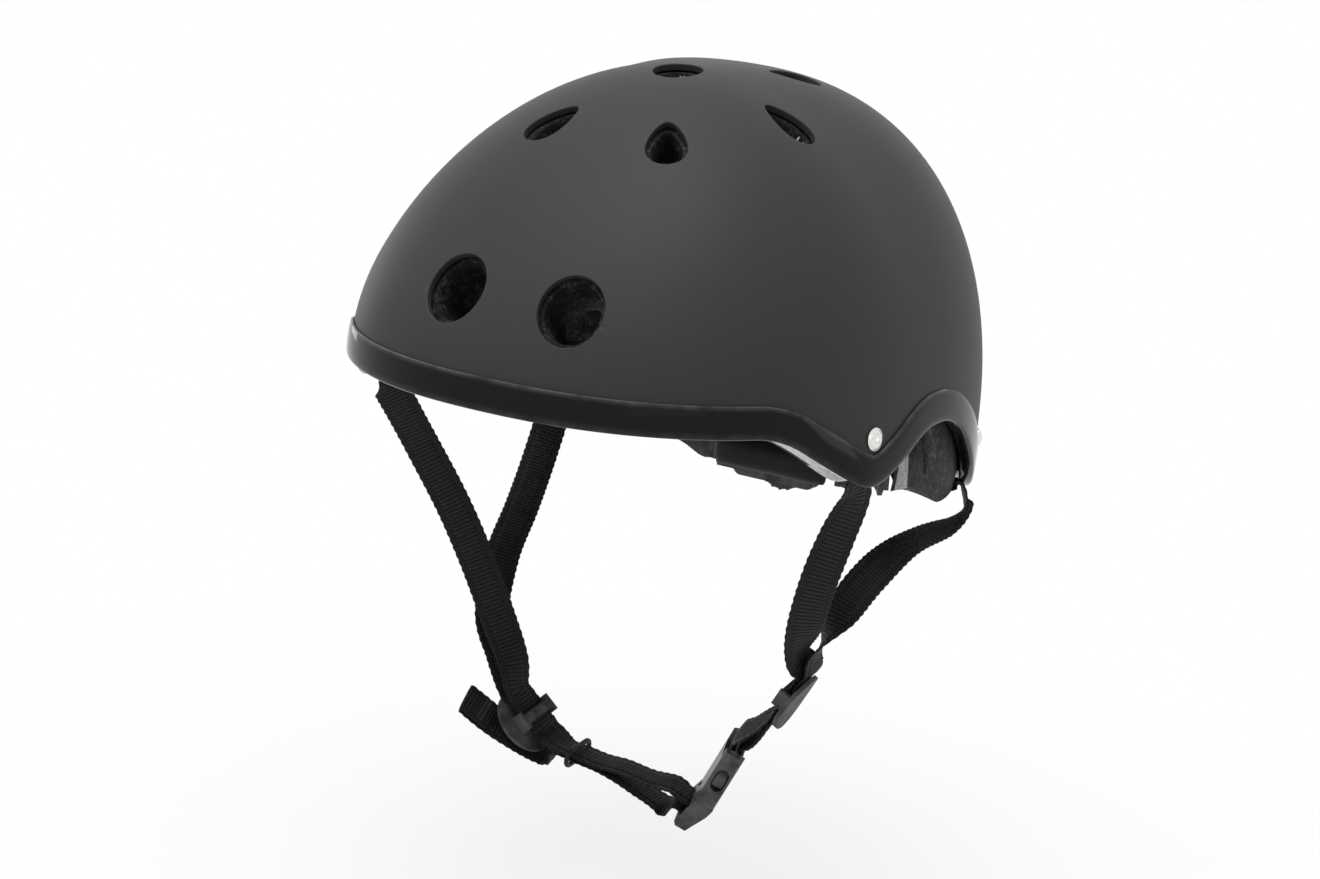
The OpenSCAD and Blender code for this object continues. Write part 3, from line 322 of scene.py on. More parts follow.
def carve(obj: Piece, cutters: Sequence[Piece]) -> None:
    """Cuts a set of cutters out of an object and removes them.

    Args:
        obj: What is cut.
        cutters: Closed meshes that may overlap each other.
    """
    group = bpy.data.collections.new("cutters")
    for cutter in cutters:
        group.objects.link(cutter)
    cut = obj.modifiers.new("cut", "BOOLEAN")
    cut.operation, cut.solver = "DIFFERENCE", "EXACT"
    cut.operand_type, cut.collection = "COLLECTION", group
    apply_modifiers(obj)
    for cutter in cutters:
        data = cutter.data
        bpy.data.objects.remove(cutter)
        bpy.data.meshes.remove(data)
    bpy.data.collections.remove(group)
    shade_by_angle(obj.data, SHARP)


def set_float(obj: Piece, name: str, values: Sequence[float]) -> None:
    """Stores one value for each vertex, for a material to read."""
    attribute = obj.data.attributes.new(name, "FLOAT", "POINT")
    attribute.data.foreach_set("value", list(values))


def set_uv(obj: Piece, points: Sequence[tuple[float, float]]) -> None:
    """Stores a UV map from one pair of millimetre values for each vertex."""
    layer = obj.data.uv_layers.new(name="cloth")
    for loop in obj.data.loops:
        layer.data[loop.index].uv = points[loop.vertex_index]


# Materials


class Wiring:
    """Adds nodes to one node tree and links them."""

    def __init__(self, tree: Tree) -> None:
        """Starts on the tree that takes the nodes."""
        self.tree = tree

    def fill(self, node: bpy.types.Node, inputs: dict) -> None:
        """Sets a node's inputs, and links those that are given as sockets.

        Args:
            node: The node.
            inputs: Input name or number to a value or a socket.
        """
        for key, value in inputs.items():
            if isinstance(value, Socket):
                self.tree.links.new(value, node.inputs[key])
            else:
                node.inputs[key].default_value = value

    def node(self, kind: str, inputs: dict | None = None, **settings: object) -> bpy.types.Node:
        """Adds a node.

        Args:
            kind: Its type name.
            inputs: Input name or number to a value, or to a socket to link.
            **settings: Properties of the node.

        Returns:
            The node.
        """
        made = self.tree.nodes.new(kind)
        for key, value in settings.items():
            setattr(made, key, value)
        self.fill(made, inputs or {})
        return made

    def noise(self, scale: object, detail: float, **inputs: float) -> Socket:
        """Adds noise over the object's own space.

        Args:
            scale: Its scale, or the socket that gives it.
            detail: Its detail.
            **inputs: The noise node's other inputs.

        Returns:
            The noise, from 0 to 1.
        """
        fixed = {"Vector": self.object_point(), "Scale": scale, "Detail": detail, **inputs}
        return self.node("ShaderNodeTexNoise", fixed).outputs["Fac"]

    def shade(self, colour: Socket, value: object) -> Socket:
        """Multiplies a colour's brightness and returns it."""
        return self.node("ShaderNodeHueSaturation", {"Color": colour, "Value": value}).outputs[0]

    def math(self, operation: str, a: object, b: object = 0.5, clamp: bool = False) -> Socket:
        """Adds a math node and returns its result."""
        return self.node("ShaderNodeMath", {0: a, 1: b}, operation=operation, use_clamp=clamp).outputs[0]

    def times(self, a: object, b: object) -> Socket:
        """Multiplies two values and returns the result."""
        return self.math("MULTIPLY", a, b)

    def plus(self, a: object, b: object) -> Socket:
        """Adds two values and returns the result."""
        return self.math("ADD", a, b)

    def total(self, *parts: tuple[object, float]) -> Socket:
        """Adds up values, each times its weight, and returns the result."""
        result, *rest = [self.times(value, weight) for value, weight in parts]
        for part in rest:
            result = self.plus(result, part)
        return result

    def remap(
        self, value: object, low: float, high: float, to_low: float = 0.0, to_high: float = 1.0
    ) -> Socket:
        """Maps a value from one range to another, clamped, and returns it."""
        return self.node("ShaderNodeMapRange", {0: value, 1: low, 2: high, 3: to_low, 4: to_high}).outputs[0]

    def mix(self, factor: object, a: object, b: object) -> Socket:
        """Mixes two colours and returns the result."""
        return self.node("ShaderNodeMix", {0: factor, 6: a, 7: b}, data_type="RGBA").outputs[2]

    def object_point(self) -> Socket:
        """Adds the object coordinates, in metres, and returns them."""
        return self.node("ShaderNodeTexCoord").outputs["Object"]

    def mesh_mark(self, name: str) -> Socket:
        """Reads a mark that a mesh carries and returns it."""
        return self.node("ShaderNodeAttribute", attribute_name=name).outputs["Fac"]

    def effect(self, group: Tree, inputs: dict) -> Sockets:
        """Adds a shared effect with these inputs and returns its outputs."""
        return self.node("ShaderNodeGroup", inputs, node_tree=group).outputs

    def bump(self, height: object, strength: float, depth_mm: float) -> Socket:
        """Turns a height into a normal and returns it."""
        inputs = {"Strength": strength, "Distance": depth_mm * MM, "Height": height}
        return self.node("ShaderNodeBump", inputs).outputs[0]


def grey(value: float, warm: float = 0.0) -> tuple[float, float, float, float]:
    """A linear grey, a little warmer or cooler.

    Args:
        value: Its brightness.
        warm: Added to red and taken from blue, as a share of the brightness.

    Returns:
        The colour with alpha 1.
    """
    return (value * (1 + warm), value, value * (1 - warm), 1.0)


GroupMaker = Callable[[Wiring, Sockets], dict[str, Socket]]


class Effects:
    """The surface effects that several materials share, each a node group that is built once."""

    made: dict[str, Tree] = {}

    @classmethod
    def group(cls, name: str, inputs: dict[str, object], maker: GroupMaker) -> Tree:
        """Builds a group, or finds it if it was built before.

        Args:
            name: The group's name.
            inputs: Input name to default: a tuple for a colour, a number for a value.
            maker: Builds the inside from the inputs and returns output name to socket.

        Returns:
            The group.
        """
        if name in cls.made:
            return cls.made[name]
        tree = bpy.data.node_groups.new(name, "ShaderNodeTree")
        for label, default in inputs.items():
            kind = "NodeSocketColor" if isinstance(default, tuple) else "NodeSocketFloat"
            tree.interface.new_socket(name=label, in_out="INPUT", socket_type=kind).default_value = default
        w = Wiring(tree)
        result = maker(w, w.node("NodeGroupInput").outputs)
        for label, socket in result.items():
            kind = "NodeSocketColor" if socket.type == "RGBA" else "NodeSocketFloat"
            tree.interface.new_socket(name=label, in_out="OUTPUT", socket_type=kind)
        w.fill(w.node("NodeGroupOutput"), result)
        cls.made[name] = tree
        return tree

    @classmethod
    def moulded_grain(cls) -> Tree:
        """Fine grain of moulded plastic, with slow changes of gloss and faint dust."""

        def inside(w: Wiring, given: Sockets) -> dict[str, Socket]:
            """Wires the grain, the slow mottle and the dust."""
            specks = w.remap(w.noise(2600.0, 1.0), 0.70, 0.78)
            shade = w.times(w.remap(w.noise(22.0, 4.0, Roughness=0.6), 0.3, 0.7, -1.0, 1.0), given["Mottle"])
            colour = w.mix(w.times(specks, given["Dust"]), given["Colour"], grey(0.32))
            return {
                "Colour": w.shade(colour, w.plus(shade, 1.0)),
                "Roughness": w.math("ADD", given["Roughness"], w.times(shade, 0.6), clamp=True),
                "Height": w.noise(given["Grain scale"], 3.0),
            }

        defaults = {"Colour": grey(0.05), "Roughness": 0.45, "Grain scale": 1400.0, "Mottle": 0.06}
        return cls.group("moulded grain", {**defaults, "Dust": 0.2}, inside)

    @classmethod
    def lip_wear_and_highlight(cls) -> Tree:
        """Lightens a colour where the mesh marks a lip or edge, broken up by noise: a painted highlight along
        lips and edges, together with wear.
        """

        def inside(w: Wiring, given: Sockets) -> dict[str, Socket]:
            """Wires the painted highlight and the wear over the marked lips."""
            # The lip colour is partly wear and partly a painted highlight on lips and rounded edges.
            wear_and_highlight = w.times(w.mesh_mark("lip"), w.remap(w.noise(140.0, 5.0), 0.35, 0.65, 0.35, 1.0))
            return {"Colour": w.mix(w.times(wear_and_highlight, given["Amount"]), given["Colour"], given["Wear and highlight"])}

        return cls.group("lip wear and highlight", {"Colour": grey(0.05), "Wear and highlight": grey(0.2), "Amount": 0.4}, inside)

    @classmethod
    def bead_cells(cls) -> Tree:
        """Fused foam beads: rounded cells of differing greys with a dark joint between them."""

        def inside(w: Wiring, given: Sockets) -> dict[str, Socket]:
            """Wires the beads, their joints and the grit on them."""
            where = {"Vector": w.object_point(), "Scale": given["Bead scale"], "Randomness": 0.9}
            cells = w.node("ShaderNodeTexVoronoi", where).outputs
            joint = w.node("ShaderNodeTexVoronoi", where, feature="DISTANCE_TO_EDGE").outputs["Distance"]
            grit, patch = w.noise(950.0, 4.0, Roughness=0.7), w.noise(120.0, 3.0)
            pick = w.node("ShaderNodeSeparateColor", {0: cells["Color"]}).outputs[0]
            bead = w.total((pick, 0.3), (grit, 1.1), (patch, 0.5))
            tone = w.mix(w.remap(bead, 0.72, 1.0), given["Dark"], given["Mid"])
            tone = w.mix(w.remap(bead, 1.0, 1.3), tone, given["Pale"])
            rim, dome = w.remap(joint, 0.0, 0.1), w.remap(cells["Distance"], 0.0, 0.75, 1.0, 0.0)
            height = w.total((rim, 0.4), (dome, 0.3), (grit, 0.3))
            return {"Colour": w.shade(tone, w.remap(rim, 0.0, 1.0, 0.7, 1.0)), "Height": height}

        defaults = {"Bead scale": 420.0, "Dark": grey(0.012), "Mid": grey(0.05), "Pale": grey(0.35)}
        return cls.group("bead cells", defaults, inside)

    @classmethod
    def thread_weave(cls) -> Tree:
        """Yarns that cross over and under, from a UV map in millimetres, with painted shade where they lie
        low and in the ribs' grooves, and painted highlight on the rib crests and twill lines.
        """

        def inside(w: Wiring, given: Sockets) -> dict[str, Socket]:
            """Wires the yarns, the ribs and the selvedge, and paints shade and highlight on them."""
            def wave(kind: str, value: object, turn: float = 2 * math.pi) -> Socket:
                """A sine or cosine that goes this far round for each 1 of a value."""
                return w.math(kind, w.times(value, turn))

            cloth = w.node("ShaderNodeUVMap", uv_map="cloth").outputs[0]
            uv = w.node("ShaderNodeSeparateXYZ", {0: cloth}).outputs
            across, along = w.times(uv[0], given["Yarns across"]), w.times(uv[1], given["Yarns along"])
            warp = w.math("ABSOLUTE", wave("SINE", across, math.pi))
            weft = w.math("ABSOLUTE", wave("SINE", along, math.pi))
            phase = w.times(w.math("MODULO", w.math("FLOOR", across), 2.0), 0.5)
            over = w.remap(wave("SINE", w.plus(along, phase)), -0.4, 0.4)
            high = w.times(warp, w.remap(over, 0.0, 1.0, 0.45, 1.0))
            low = w.times(weft, w.remap(over, 0.0, 1.0, 0.9, 0.3))
            height = w.math("MAXIMUM", high, low)
            off_middle = w.math("ABSOLUTE", w.math("SUBTRACT", uv[0], CLOTH_MIDDLE))
            turns = w.math("DIVIDE", uv[1], given["Rib pitch"])
            slant = w.plus(turns, w.math("DIVIDE", off_middle, given["Rib pitch"]))
            rib = w.remap(wave("COSINE", turns), -1.0, 1.0, 1.0, 0.0)
            twill = w.remap(wave("SINE", slant), -1.0, 1.0, 0.0, 0.8)
            selvedge = w.remap(off_middle, 4.3, 4.9)
            line = w.plus(w.times(twill, selvedge), w.times(rib, w.math("SUBTRACT", 1.0, selvedge)))
            fuzz = w.remap(w.noise(3500.0, 2.0), 0.3, 0.7, -0.12, 0.12)
            # Painted shade: darker where the yarns lie low.
            value = w.plus(w.remap(height, 0.1, 0.9, 0.5, 1.1), fuzz)
            # Painted shade in the ribs' grooves and between twill lines, painted highlight on their crests.
            value = w.times(value, w.remap(line, 0.2, 0.95, 0.15, 3.2))
            raised = w.plus(height, w.times(twill, w.times(selvedge, 1.5)))
            return {"Colour": w.shade(given["Colour"], value), "Height": raised}

        defaults = {"Colour": grey(0.02), "Yarns across": 1.1, "Yarns along": 0.8, "Rib pitch": 1.65}
        return cls.group("thread weave", defaults, inside)

    @classmethod
    def knit_loops(cls) -> Tree:
        """Brushed knit: small loops with a nap over them, in object space, painted darker in the hollows
        between loops as painted shade.
        """

        def inside(w: Wiring, given: Sockets) -> dict[str, Socket]:
            """Wires the loops, the nap and the painted shade between loops."""
            where = {"Vector": w.object_point(), "Scale": given["Loop scale"], "Randomness": 0.35}
            loops = w.node("ShaderNodeTexVoronoi", where).outputs["Distance"]
            height = w.total((w.math("SUBTRACT", 1.0, loops), 0.7), (w.noise(2800.0, 4.0), 0.5))
            pile = w.remap(w.noise(60.0, 3.0), 0.3, 0.7, -0.2, 0.2)
            # Painted shade: darker where the loops lie low.
            value = w.plus(w.remap(height, 0.4, 1.1, 0.5, 1.35), pile)
            return {"Colour": w.shade(given["Colour"], value), "Height": height}

        return cls.group("knit loops", {"Colour": grey(0.03), "Loop scale": 1300.0}, inside)


def new_material(name: str) -> tuple[bpy.types.Material, Wiring, bpy.types.Node]:
    """Starts a material.

    Args:
        name: Its name.

    Returns:
        The material, its wiring and its Principled BSDF.
    """
    material = bpy.data.materials.new(name)
    material.use_nodes = True
    return material, Wiring(material.node_tree), material.node_tree.nodes["Principled BSDF"]


@dataclass(frozen=True)
class MouldedPlastic:
    """Moulded plastic, matt or gloss, with grain, and lips painted lighter as wear and as a painted
    highlight.
    """

    name: str
    slot: Slot
    tone: float
    wear_and_highlight: float
    roughness: float
    grain: float = 1400.0
    depth_mm: float = 0.05
    dust: float = 0.15
    wear_and_highlight_amount: float = 0.4
    mottle: float = 0.06
    specular: float = 0.5

    def material(self) -> bpy.types.Material:
        """Builds the material."""
        made, w, shader = new_material(self.name)
        # The lips' lighter colour is wear together with a painted highlight.
        edges = {"Colour": grey(self.tone, -0.01), "Wear and highlight": grey(self.wear_and_highlight), "Amount": self.wear_and_highlight_amount}
        grain = {
            "Colour": w.effect(Effects.lip_wear_and_highlight(), edges)["Colour"],
            "Roughness": self.roughness,
            "Grain scale": self.grain,
            "Mottle": self.mottle,
            "Dust": self.dust,
        }
        skin = w.effect(Effects.moulded_grain(), grain)
        w.fill(shader, {
            "Base Color": skin["Colour"],
            "Roughness": skin["Roughness"],
            "Specular IOR Level": self.specular,
            "Normal": w.bump(skin["Height"], 0.5, self.depth_mm),
        })
        return made


@dataclass(frozen=True)
class PlatedMetal:
    """Plated or bare metal with faint scuffs."""

    name: str
    slot: Slot
    colour: tuple[float, float, float]
    roughness: float

    def material(self) -> bpy.types.Material:
        """Builds the material."""
        made, w, shader = new_material(self.name)
        scuffs = w.noise(900.0, 6.0, Distortion=0.6)
        w.fill(shader, {
            "Base Color": w.mix(w.remap(scuffs, 0.45, 0.7, 0.0, 0.35), (*self.colour, 1.0), grey(0.35)),
            "Roughness": w.remap(scuffs, 0.3, 0.75, self.roughness * 0.7, self.roughness * 2.2),
            "Metallic": 1.0,
            "Normal": w.bump(scuffs, 0.15, 0.02),
        })
        return made


@dataclass(frozen=True)
class BeadFoam:
    """Foam of fused beads, painted paler where the mesh marks the lower and front cut faces: paler foam,
    brightened further as painted light from below.
    """

    name: str = "bead foam"
    slot: Slot = Slot.FOAM
    beads: float = 420.0

    def material(self) -> bpy.types.Material:
        """Builds the material."""
        made, w, shader = new_material(self.name)
        # The second set of greys paints the marked faces pale, partly as painted light from below
        dark, pale_lit = (
            w.effect(
                Effects.bead_cells(),
                {"Bead scale": self.beads, "Dark": grey(low), "Mid": grey(middle), "Pale": grey(high)},
            )
            for low, middle, high in ((0.002, 0.007, 0.08), (0.55, 0.88, 0.93))
        )
        w.fill(shader, {
            "Base Color": w.mix(w.mesh_mark("pale_lit"), dark["Colour"], pale_lit["Colour"]),
            "Roughness": w.remap(dark["Height"], 0.2, 0.9, 0.8, 0.55),
            "Specular IOR Level": 0.2,
            "Normal": w.bump(dark["Height"], 0.5, 0.25),
        })
        return made


@dataclass(frozen=True)
class WovenWeb:
    """Polyester webbing: the weave comes from the UV map, the ribs from the mesh; the colour carries painted
    shade and highlight over both.
    """

    name: str = "ribbed webbing"
    slot: Slot = Slot.WEBBING
    tone: float = 0.009
    yarns_across: float = 1.1
    yarns_along: float = 1.212
    rib_pitch: float = 1.65

    def material(self) -> bpy.types.Material:
        """Builds the material."""
        made, w, shader = new_material(self.name)
        yarns = {
            "Colour": grey(self.tone, -0.02),
            "Yarns across": self.yarns_across,
            "Yarns along": self.yarns_along,
            "Rib pitch": self.rib_pitch,
        }
        weave = w.effect(Effects.thread_weave(), yarns)
        w.fill(shader, {
            "Base Color": weave["Colour"],
            "Roughness": 0.62,
            "Specular IOR Level": 0.2,
            "Sheen Weight": 0.06,
            "Sheen Roughness": 0.45,
            "Normal": w.bump(weave["Height"], 0.7, 0.14),
        })
        return made


@dataclass(frozen=True)
class KnitCover:
    """Brushed knit over foam, and the hook tape behind it."""

    name: str
    slot: Slot
    tone: float
    loops: float
    depth_mm: float
    sheen: float

    def material(self) -> bpy.types.Material:
        """Builds the material."""
        made, w, shader = new_material(self.name)
        knit = w.effect(Effects.knit_loops(), {"Colour": grey(self.tone, -0.02), "Loop scale": self.loops})
        w.fill(shader, {
            "Base Color": knit["Colour"],
            "Roughness": 0.9,
            "Sheen Weight": self.sheen,
            "Sheen Roughness": 0.5,
            "Normal": w.bump(knit["Height"], 0.8, self.depth_mm),
        })
        return made


@dataclass(frozen=True)
class SewingThread:
    """Twisted polyester thread, painted darker in the twist's grooves and lighter on its ply as painted shade
    and highlight.
    """

    name: str = "sewing thread"
    slot: Slot = Slot.WEBBING
    tone: float = 0.03

    def material(self) -> bpy.types.Material:
        """Builds the material."""
        made, w, shader = new_material(self.name)
        # The ply's colour follows its bump: painted shade in the grooves, painted highlight on the ply.
        ply = w.node("ShaderNodeTexWave", {"Vector": w.object_point(), "Scale": 900.0, "Distortion": 1.5})
        w.fill(shader, {
            "Base Color": w.mix(ply.outputs["Fac"], grey(self.tone * 0.5), grey(self.tone * 1.6)),
            "Roughness": 0.5,
            "Normal": w.bump(ply.outputs["Fac"], 0.5, 0.05),
        })
        return made


class Finish(Enum):
    """Every finish of the helmet."""

    SHELL = MouldedPlastic(
        "matt shell", Slot.SHELL, tone=0.045, wear_and_highlight=0.085, roughness=0.5, grain=1500.0, depth_mm=0.02,
        dust=0.03, wear_and_highlight_amount=0.5, mottle=0.025, specular=0.13,
    )
    TRIM = MouldedPlastic(
        "gloss trim", Slot.TRIM, tone=0.005, wear_and_highlight=0.16, roughness=0.09, grain=420.0, depth_mm=0.006,
        dust=0.02, wear_and_highlight_amount=0.7, mottle=0.06, specular=0.14,
    )
    PLASTIC = MouldedPlastic(
        "satin black plastic", Slot.PLASTIC, tone=0.008, wear_and_highlight=0.2, roughness=0.32, grain=1800.0,
        depth_mm=0.02, dust=0.05, wear_and_highlight_amount=0.75, specular=0.12,
    )
    DIAL = MouldedPlastic(
        "dial plastic", Slot.DIAL, tone=0.011, wear_and_highlight=0.08, roughness=0.34, grain=1500.0, depth_mm=0.025,
        dust=0.06, wear_and_highlight_amount=0.6, specular=0.22,
    )
    RUBBER = MouldedPlastic(
        "band rubber", Slot.RUBBER, tone=0.01, wear_and_highlight=0.03, roughness=0.55, grain=2400.0, depth_mm=0.03,
        dust=0.15, wear_and_highlight_amount=0.3, specular=0.25,
    )
    MATT = MouldedPlastic(
        "matt black plastic", Slot.PLASTIC, tone=0.008, wear_and_highlight=0.22, roughness=0.55, grain=1800.0,
        depth_mm=0.025, dust=0.05, wear_and_highlight_amount=0.7, specular=0.05,
    )
    NICKEL = PlatedMetal("nickel plate", Slot.NICKEL, (0.78, 0.76, 0.72), 0.12)
    STEEL = PlatedMetal("plain steel", Slot.STEEL, (0.5, 0.5, 0.5), 0.32)
    FOAM = BeadFoam()
    WEB = WovenWeb()
    THREAD = SewingThread()
    PAD = KnitCover("brushed knit", Slot.PAD, 0.014, 900.0, 0.12, 0.15)
    HOOK = KnitCover("hook tape", Slot.HOOK, 0.01, 700.0, 0.3, 0.05)

    def dress(self, obj: Piece) -> None:
        """Gives a piece this finish."""
        made = bpy.data.materials.get(self.value.name) or self.value.material()
        obj.data.materials.clear()
        obj.data.materials.append(made)


# The helmet's form


@dataclass(frozen=True)
class Dome:
    """The helmet's skin: where it lies, and how the shell and the liner are cut off at the rim."""

    # The outer skin: its reach from the origin, how far below it is widest, and its wall
    front: float = 139.0
    rear: float = 143.0
    half_w: float = 117.5
    crown: float = 117.0
    widest_drop: float = 18.0
    wall: float = 2.6
    # How far the front draws in low down, under which height, and over how many degrees
    front_tuck: float = 3.4
    tuck_h: float = 38.0
    tuck_az: float = 25.0
    # Exponents of the profile at the front, side and rear, and of the widest outline
    front_full: float = 1.71
    side_full: float = 1.97
    rear_full: float = 2.79
    plan_full: float = 2.28
    # The rim, in degrees from the front and drops under the brow: temple tab, ear arch, nape
    temple_az: float = 71.0
    temple_drop: float = 21.6
    tab_slope: float = 1.25
    tab_round: float = 4.0
    tab_blend: float = 6.0
    ear_drop: float = 4.2
    nape_start: float = 95.5
    nape_end: float = 137.0
    nape_drop: float = 49.0
    # Where the mesh changes its step: end of the brow, and end of the ear arch
    brow_end: float = 45.0
    ear_end: float = 130.0
    # The liner's outer edge: its inset at the shell's rim, then its step down behind the ear block's face
    rim_inset: float = 1.4
    block_az: float = 92.0
    block_drop: float = 30.0
    step_az: float = 1.2
    step_fade: float = 7.0
    liner_drop: float = 46.5
    # The liner's inner edge: its drop at the brow and the block, and over how many degrees it falls
    brow_inner: float = 7.1
    inner_drop: float = 32.0
    inner_az: float = 41.0
    inner_extra: float = 3.5
    # How the ear block's face runs inwards, and how it leans
    block_inner_az: float = 125.0
    lag_start: float = 62.0
    lean_az: float = 24.0
    lean_by: float = 6.0
    lean_h: float = 32.0
    # Over which height a point is placed by its plan, and how its normal is evened out there
    crown_z: float = 60.0
    even_z: float = 66.0
    even_h: float = 40.0
    even_r: float = 16.0
    # How far to search for the skin along a direction
    reach: float = 15.0

    def fullness(self, u: float) -> float:
        """Exponent of the profile at azimuth u."""
        end = self.front_full if cos_d(u) > 0 else self.rear_full
        return cos_d(u) ** 2 * end + sin_d(u) ** 2 * self.side_full

    def plan_r(self, u: float, d: float) -> float:
        """Radius of the widest outline at azimuth u, d under the skin."""
        reach = (self.front if cos_d(u) > 0 else self.rear) - d
        n = self.plan_full
        return ((abs(cos_d(u)) / reach) ** n + (abs(sin_d(u)) / (self.half_w - d)) ** n) ** (-1 / n)

    def height(self, d: float) -> float:
        """Height from the widest level to the crown, d under the skin."""
        return self.crown + self.widest_drop - d

    def tuck(self, u: float, z: float) -> float:
        """How far the front draws in at height z."""
        low = max(0.0, self.tuck_h - z) / self.tuck_h
        return self.front_tuck * low**2 * ease((self.temple_az + 1 - fold(u)) / self.tuck_az)

    def skin(self, u: float, w: float, d: float) -> Vector:
        """Point at azimuth u and slope angle w, d under the skin."""
        p = self.fullness(u)
        z = sign_of(w) * self.height(d) * abs(sin_d(w)) ** (2 / p) - self.widest_drop
        r = self.plan_r(u, d) * max(0.0, cos_d(w)) ** (2 / p) - self.tuck(u, z)
        return Vector((r * sin_d(u), -r * cos_d(u), z))

    def slope_at(self, u: float, z: float, d: float) -> float:
        """Slope angle of the point at height z."""
        s = max(-1.0, min(1.0, (z + self.widest_drop) / self.height(d)))
        return sign_of(s) * math.degrees(math.asin(abs(s) ** (self.fullness(u) / 2)))

    def at(self, u: float, z: float, d: float) -> Vector:
        """Point at azimuth u and height z, d under the skin."""
        return self.skin(u, self.slope_at(u, z, d), d)

    def normal(self, u: float, z: float, d: float) -> Vector:
        """Outward normal at azimuth u and height z."""
        along = self.at(u + 1, z, d) - self.at(u - 1, z, d)
        return along.cross(self.at(u, z + 1, d) - self.at(u, z - 1, d)).normalized()

    def over(self, x: float, y: float, d: float) -> Vector:
        """Point of the dome over a point of its plan."""
        u = math.degrees(math.atan2(x, -y))
        p = self.fullness(u)
        k = min(1.0, math.hypot(x, y) / self.plan_r(u, d))
        return Vector((x, y, self.height(d) * (1 - k**p) ** (1 / p) - self.widest_drop))

    def crown_normal(self, x: float, y: float, d: float) -> Vector:
        """Outward normal over a point of the plan."""
        along = self.over(x + 1, y, d) - self.over(x - 1, y, d)
        return along.cross(self.over(x, y + 1, d) - self.over(x, y - 1, d)).normalized()

    def outside(self, point: Vector) -> float:
        """How far a point lies outside the outer skin, roughly; negative inside."""
        if point.z > self.crown_z:
            return point.z - self.over(point.x, point.y, 0).z
        surface = self.at(math.degrees(math.atan2(point.x, -point.y)), point.z, 0)
        return math.hypot(point.x, point.y) - math.hypot(surface.x, surface.y)

    def settle(self, point: Vector, normal: Vector) -> Vector:
        """Slides a point along a direction until it lies on the outer skin.

        Args:
            point: Where it starts, less than the dome's reach from the skin.
            normal: The direction, outwards.

        Returns:
            The point on the skin.
        """
        low, high = -self.reach, self.reach
        for _ in range(26):
            mid = (low + high) / 2
            if self.outside(point + normal * mid) > 0:
                high = mid
            else:
                low = mid
        return point + normal * low

    def true_normal(self, point: Vector) -> Vector:
        """Outward normal of the outer skin near a point, evened out over the crown."""
        if point.z <= self.crown_z:
            return self.normal(math.degrees(math.atan2(point.x, -point.y)), point.z, 0)
        spread = self.even_r * ease((point.z - self.even_z) / self.even_h)
        total = self.crown_normal(point.x, point.y, 0)
        for k in range(12 if spread > 0.5 else 0):
            r = spread * (0.5 if k % 2 else 1.0)
            total = total + self.crown_normal(point.x + r * cos_d(30 * k), point.y + r * sin_d(30 * k), 0)
        return total.normalized()

    def rim_z(self, a: float) -> float:
        """Height of the rim at an azimuth."""
        u = fold(a)
        rise = math.hypot(u - self.temple_az, self.tab_round) - self.tab_round
        tab = -self.temple_drop + self.tab_slope * rise
        share = ease((u - self.nape_start) / (self.nape_end - self.nape_start))
        level = 0.0 if u < self.temple_az else -self.ear_drop
        return soft_min(tab, level, self.tab_blend) - (self.nape_drop - self.ear_drop) * share

    def rim_run(self, a: float) -> tuple[float, float]:
        """Unit direction of the rim, as (along, up)."""
        p = self.at(a + 1, self.rim_z(a + 1), 0) - self.at(a - 1, self.rim_z(a - 1), 0)
        s = math.hypot(p.x, p.y)
        size = math.hypot(s, p.z)
        return s / size, p.z / size

    def columns(self, fine: int) -> list[float]:
        """Azimuths of the mesh's columns, with the block's step kept.

        Args:
            fine: Columns for each coarse one.

        Returns:
            The azimuths, from 0 up to 360.
        """
        brow, side, ear, nape = 7 * fine, 12 * fine, 11 * fine, 7 * fine
        marks = [self.brow_end * i / brow for i in range(brow)]
        marks += [self.brow_end + (self.block_az - self.brow_end) * i / side for i in range(side + 1)]
        marks += [self.block_az + self.step_az]
        marks += [self.block_az + (self.ear_end - self.block_az) * i / ear for i in range(fine, ear)]
        marks += [self.ear_end + (180 - self.ear_end) * i / nape for i in range(nape + 1)]
        return marks + [360 - a for a in marks[-2:0:-1]]

    def behind_step(self, a: float) -> bool:
        """True for a column behind the front face of the ear block."""
        return fold(a) > self.block_az + 0.1

    def outer_edge(self, a: float) -> float:
        """Height of the liner's outer edge."""
        u = fold(a)
        if not self.behind_step(a):
            return self.rim_z(u) + self.rim_inset
        left = math.exp((self.block_az - u) / self.step_fade)
        return -self.liner_drop + (self.liner_drop - self.block_drop) * left

    def inner_edge(self, a: float, b: float) -> float:
        """Height of the liner's inner edge for column a, which lies at azimuth b."""
        low = self.liner_drop + self.inner_extra - self.inner_drop if self.behind_step(a) else 0.0
        share = ease((fold(b) - self.brow_end) / self.inner_az)
        return -self.brow_inner - (self.inner_drop - self.brow_inner) * share - low

    def lagged(self, a: float) -> float:
        """Azimuth of the liner's inner skin for column a."""
        u = fold(a)
        if u < self.block_az:
            share = ease((u - self.lag_start) / (self.block_az - self.lag_start))
        else:
            share = 1 - ease((u - self.block_az) / (180 - self.block_az))
        lag = (self.block_inner_az - self.block_az) * share
        return a - lag if a > 180 else a + lag

    def lean(self, a: float, z: float) -> float:
        """Shift of azimuth that leans the liner's front block."""
        near = max(0.0, 1 - abs(fold(a) - self.block_az) / self.lean_az)
        return (-self.lean_by if a > 180 else self.lean_by) * near * max(0.0, self.rim_z(a) - z) / self.lean_h

    def rivet_axes(self, az: float, z: float) -> Axes:
        """Frame of a rivet: z outwards, x up."""
        return Axes.standing(self.at(az, z, 0), self.normal(az, z, 0), Vector((0, 0, 1)))


DOME = Dome()
RIVETS = [(-71.0, -4.8), (-129.0, -27.0), (71.0, -4.8), (129.0, -27.0)]


